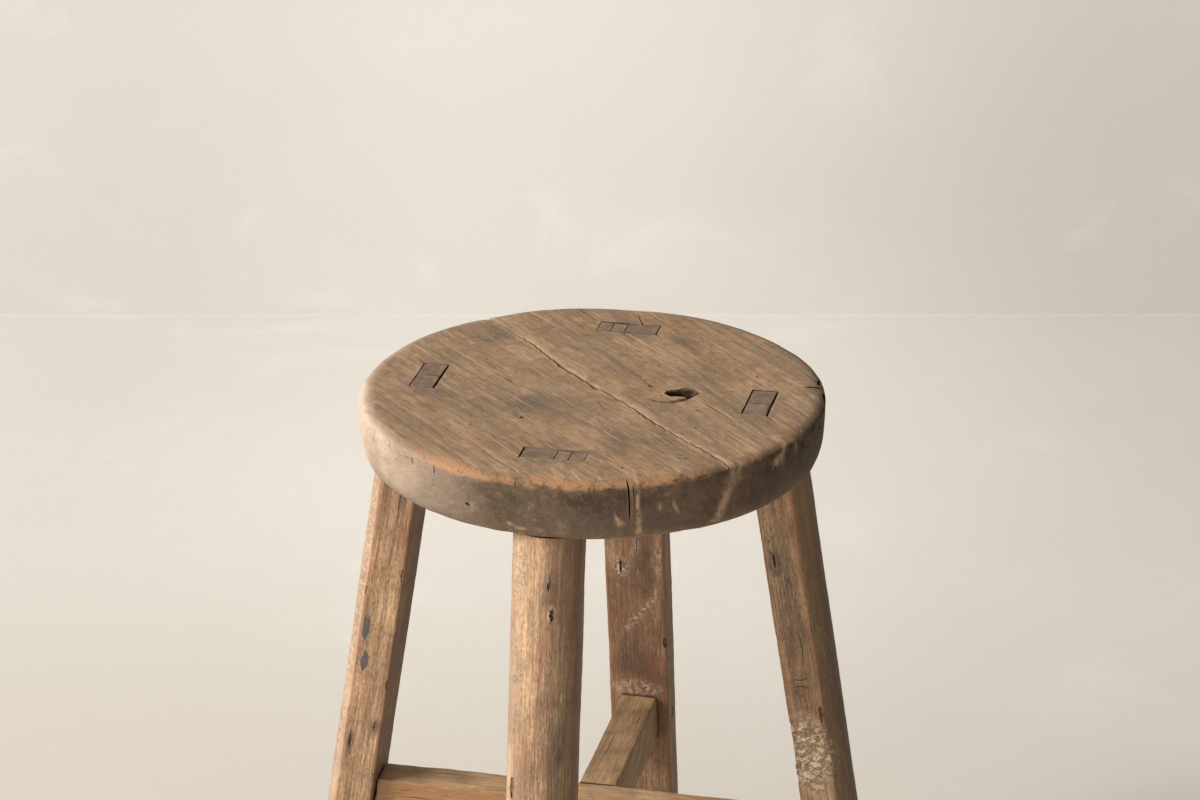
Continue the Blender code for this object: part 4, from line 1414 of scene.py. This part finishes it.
wood = peg_wood()
PEG_LENGTH = LEG_WIDTH - 1.2 * MM
put_down_everything()
bpy.ops.mesh.primitive_cylinder_add(
    vertices=40, radius=PEG_RADIUS, depth=PEG_LENGTH, end_fill_type="NGON",
    location=(inner_face(STRETCHER_MID_Z) + PEG_SETBACK, 0, STRETCHER_MID_Z),
    rotation=(pi / 2, 0, 0),
)
first_peg = name_new("whittled_peg")
settle(first_peg)
edit(first_peg)
choose(first_peg, "FACE", lambda middle, normal: abs(normal.y) > 0.9)
bpy.ops.mesh.bevel(offset=0.5 * MM, segments=3, affect="EDGES")
choose(first_peg, "FACE", lambda middle, normal: abs(normal.y) > 0.99)
bpy.ops.mesh.inset(thickness=0.8 * MM)
bpy.ops.mesh.inset(thickness=0.8 * MM)
choose(first_peg, "EDGE", lambda a, b: abs(a.y - b.y) > 20 * MM)
bpy.ops.mesh.subdivide(number_cuts=24)
bpy.ops.object.mode_set(mode="OBJECT")
roughen(first_peg, 5 * MM, 0.3 * MM, rest=0.8)
for corner, azimuth in CORNERS.items():
    peg = first_peg.copy()
    peg.data = first_peg.data.copy()
    peg.name = "whittled_peg_" + corner
    bpy.context.scene.collection.objects.link(peg)
    peg.rotation_euler.z = azimuth
    settle(peg)
    shift = 0.5 * (1 + list(CORNERS).index(corner))
    across = Vector((-sin(azimuth), cos(azimuth), 0))
    lay_grain(peg, across, Vector((0, 0, 1)), (shift, 0.0, -STRETCHER_MID_Z + MM))
    dress(peg, wood)
    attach(peg, "root")
    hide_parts("peg_" + corner)
bpy.data.objects.remove(first_peg)


# ------------------------------------------------------------------------------------
# Room. A pale floor that turns up into a limewashed wall a good step behind the stool,
# with a soft line between them.

WALL_FOOT = Vector((-0.30, 1.37, 0))
WALL_FACES = radians(-77.5)  # the direction the wall looks in
ROOM_SIZE = 14.0
COVE = 0.001
put_down_everything()
bpy.ops.mesh.primitive_plane_add(size=ROOM_SIZE, location=(0, 0, 0))
room = name_new("room")
edit(room)
choose(room, "EDGE", lambda a, b: a.y > 1 and b.y > 1)
bpy.ops.mesh.extrude_region_move(TRANSFORM_OT_translate={"value": (0, 0, 6)})
choose(room, "EDGE", lambda a, b: a.y > 1 and b.y > 1 and a.z < 1 and b.z < 1)
bpy.ops.mesh.bevel(offset=COVE, segments=2, affect="EDGES")
bpy.ops.object.mode_set(mode="OBJECT")
back = Vector((-cos(WALL_FACES), -sin(WALL_FACES), 0))
room.rotation_euler.z = WALL_FACES + pi / 2
room.location = WALL_FOOT - back * ROOM_SIZE / 2
settle(room)
pick_up(room)
bpy.ops.object.shade_smooth_by_angle(angle=radians(60))


def room_paint():
    """Uneven limewash with painted light and shade, seen through from behind so that it never
    hides the stool.
    """
    grey_wash, white_wash = (0.710, 0.682, 0.628, 1), (0.752, 0.724, 0.672, 1)
    fresh_patch, painted_floor_shade = (0.785, 0.760, 0.712, 1), (0.56, 0.525, 0.470, 1)
    bounce = (0.48, 0.45, 0.40, 1)
    along_the_wall = (0.976, 0.217, 0.0)
    material = bpy.data.materials.new("limewash")
    material.use_nodes = True
    tree = material.node_tree
    place = add_node(tree, "TexCoord").outputs["Object"]
    broad = noise(tree, place, (1.3, 1.3, 2.0), 4.0, 0.6)
    patches = noise(tree, place, (5, 5, 7), 5.0, 0.65, 0.6)
    colour = blend(tree, ease(tree, broad, 0.3, 0.7), grey_wash, white_wash)
    colour = blend(tree, ease(tree, patches, 0.54, 0.70, 0.0, 0.7), colour, fresh_patch)
    # Painted light and shade: the wash a little brighter mid-wall and darker towards both sides.
    across = add_node(
        tree, "VectorMath", {0: place, 1: along_the_wall}, operation="DOT_PRODUCT"
    ).outputs["Value"]
    painted_falloff = ease(tree, calc(tree, "ABSOLUTE", across), 0.05, 0.52, 1.05, 0.90)
    colour = blend(tree, 1.0, colour, painted_falloff, "MULTIPLY")
    # Painted shade: the floor darker towards the front, round the stool.
    deep = add_node(tree, "SeparateXYZ", {0: place}).outputs["Y"]
    colour = blend(tree, ease(tree, deep, 0.95, 0.25, 0.0, 0.85), colour, painted_floor_shade)
    seen = add_node(tree, "LightPath").outputs["Is Camera Ray"]
    colour = blend(tree, seen, bounce, colour)
    grit = noise(tree, place, (160, 160, 160), 3.0, 0.6)
    finish_wood(tree, colour, ease(tree, patches, 0.3, 0.7, 0.85, 0.95), grit, 0.2 * MM)
    behind = calc(tree, "MULTIPLY", seen, add_node(tree, "NewGeometry").outputs["Backfacing"])
    see_through = add_node(
        tree,
        "MixShader",
        {0: behind, 1: tree.nodes["Principled BSDF"].outputs[0],
         2: add_node(tree, "BsdfTransparent").outputs[0]},
    )
    tree.links.new(see_through.outputs[0], tree.nodes["Material Output"].inputs["Surface"])
    return material


room.data.materials.append(room_paint())


# ------------------------------------------------------------------------------------
# Camera and light. A short telephoto from a little above the seat. One large soft window
# of light stands to the left and a little in front, and the pale room fills the rest.

camera_data = bpy.data.cameras.new("camera")
camera_data.lens = 120
camera_data.sensor_width = 36
camera = bpy.data.objects.new("camera", camera_data)
camera.location = (0.5034, -2.2379, 1.4456)
camera.rotation_euler = (radians(67.425), radians(0.06), radians(12.538))
bpy.context.scene.collection.objects.link(camera)
bpy.context.scene.camera = camera

LIGHT_CENTRE_Z = 0.4


def soft_light(name, azimuth, height, away, size, power, colour, aim_z):
    """A soft light at an azimuth and height in degrees, turned to the stool."""
    data = bpy.data.lights.new(name, "AREA")
    data.shape = "RECTANGLE"
    data.size, data.size_y = size
    data.energy = power
    data.color = colour
    light = bpy.data.objects.new(name, data)
    level = away * cos(radians(height))
    light.location = (
        level * cos(radians(azimuth)),
        level * sin(radians(azimuth)),
        LIGHT_CENTRE_Z + away * sin(radians(height)),
    )
    aim = Vector((0, 0, aim_z)) - light.location
    light.rotation_euler = aim.to_track_quat("-Z", "Y").to_euler()
    bpy.context.scene.collection.objects.link(light)


soft_light("window", -150, 35, 7.0, (3.3, 3.3), 630, (1.0, 0.975, 0.94), LIGHT_CENTRE_Z)
soft_light("white_card", -98, 7, 4.0, (2.4, 1.6), 60, (1.0, 0.97, 0.93), 0.35)

world = bpy.data.worlds.new("room_light")
world.use_nodes = True
world.node_tree.nodes["Background"].inputs["Color"].default_value = (1.0, 0.965, 0.92, 1)
world.node_tree.nodes["Background"].inputs["Strength"].default_value = 0.22
bpy.context.scene.world = world
bpy.context.scene.view_settings.view_transform = "Standard"
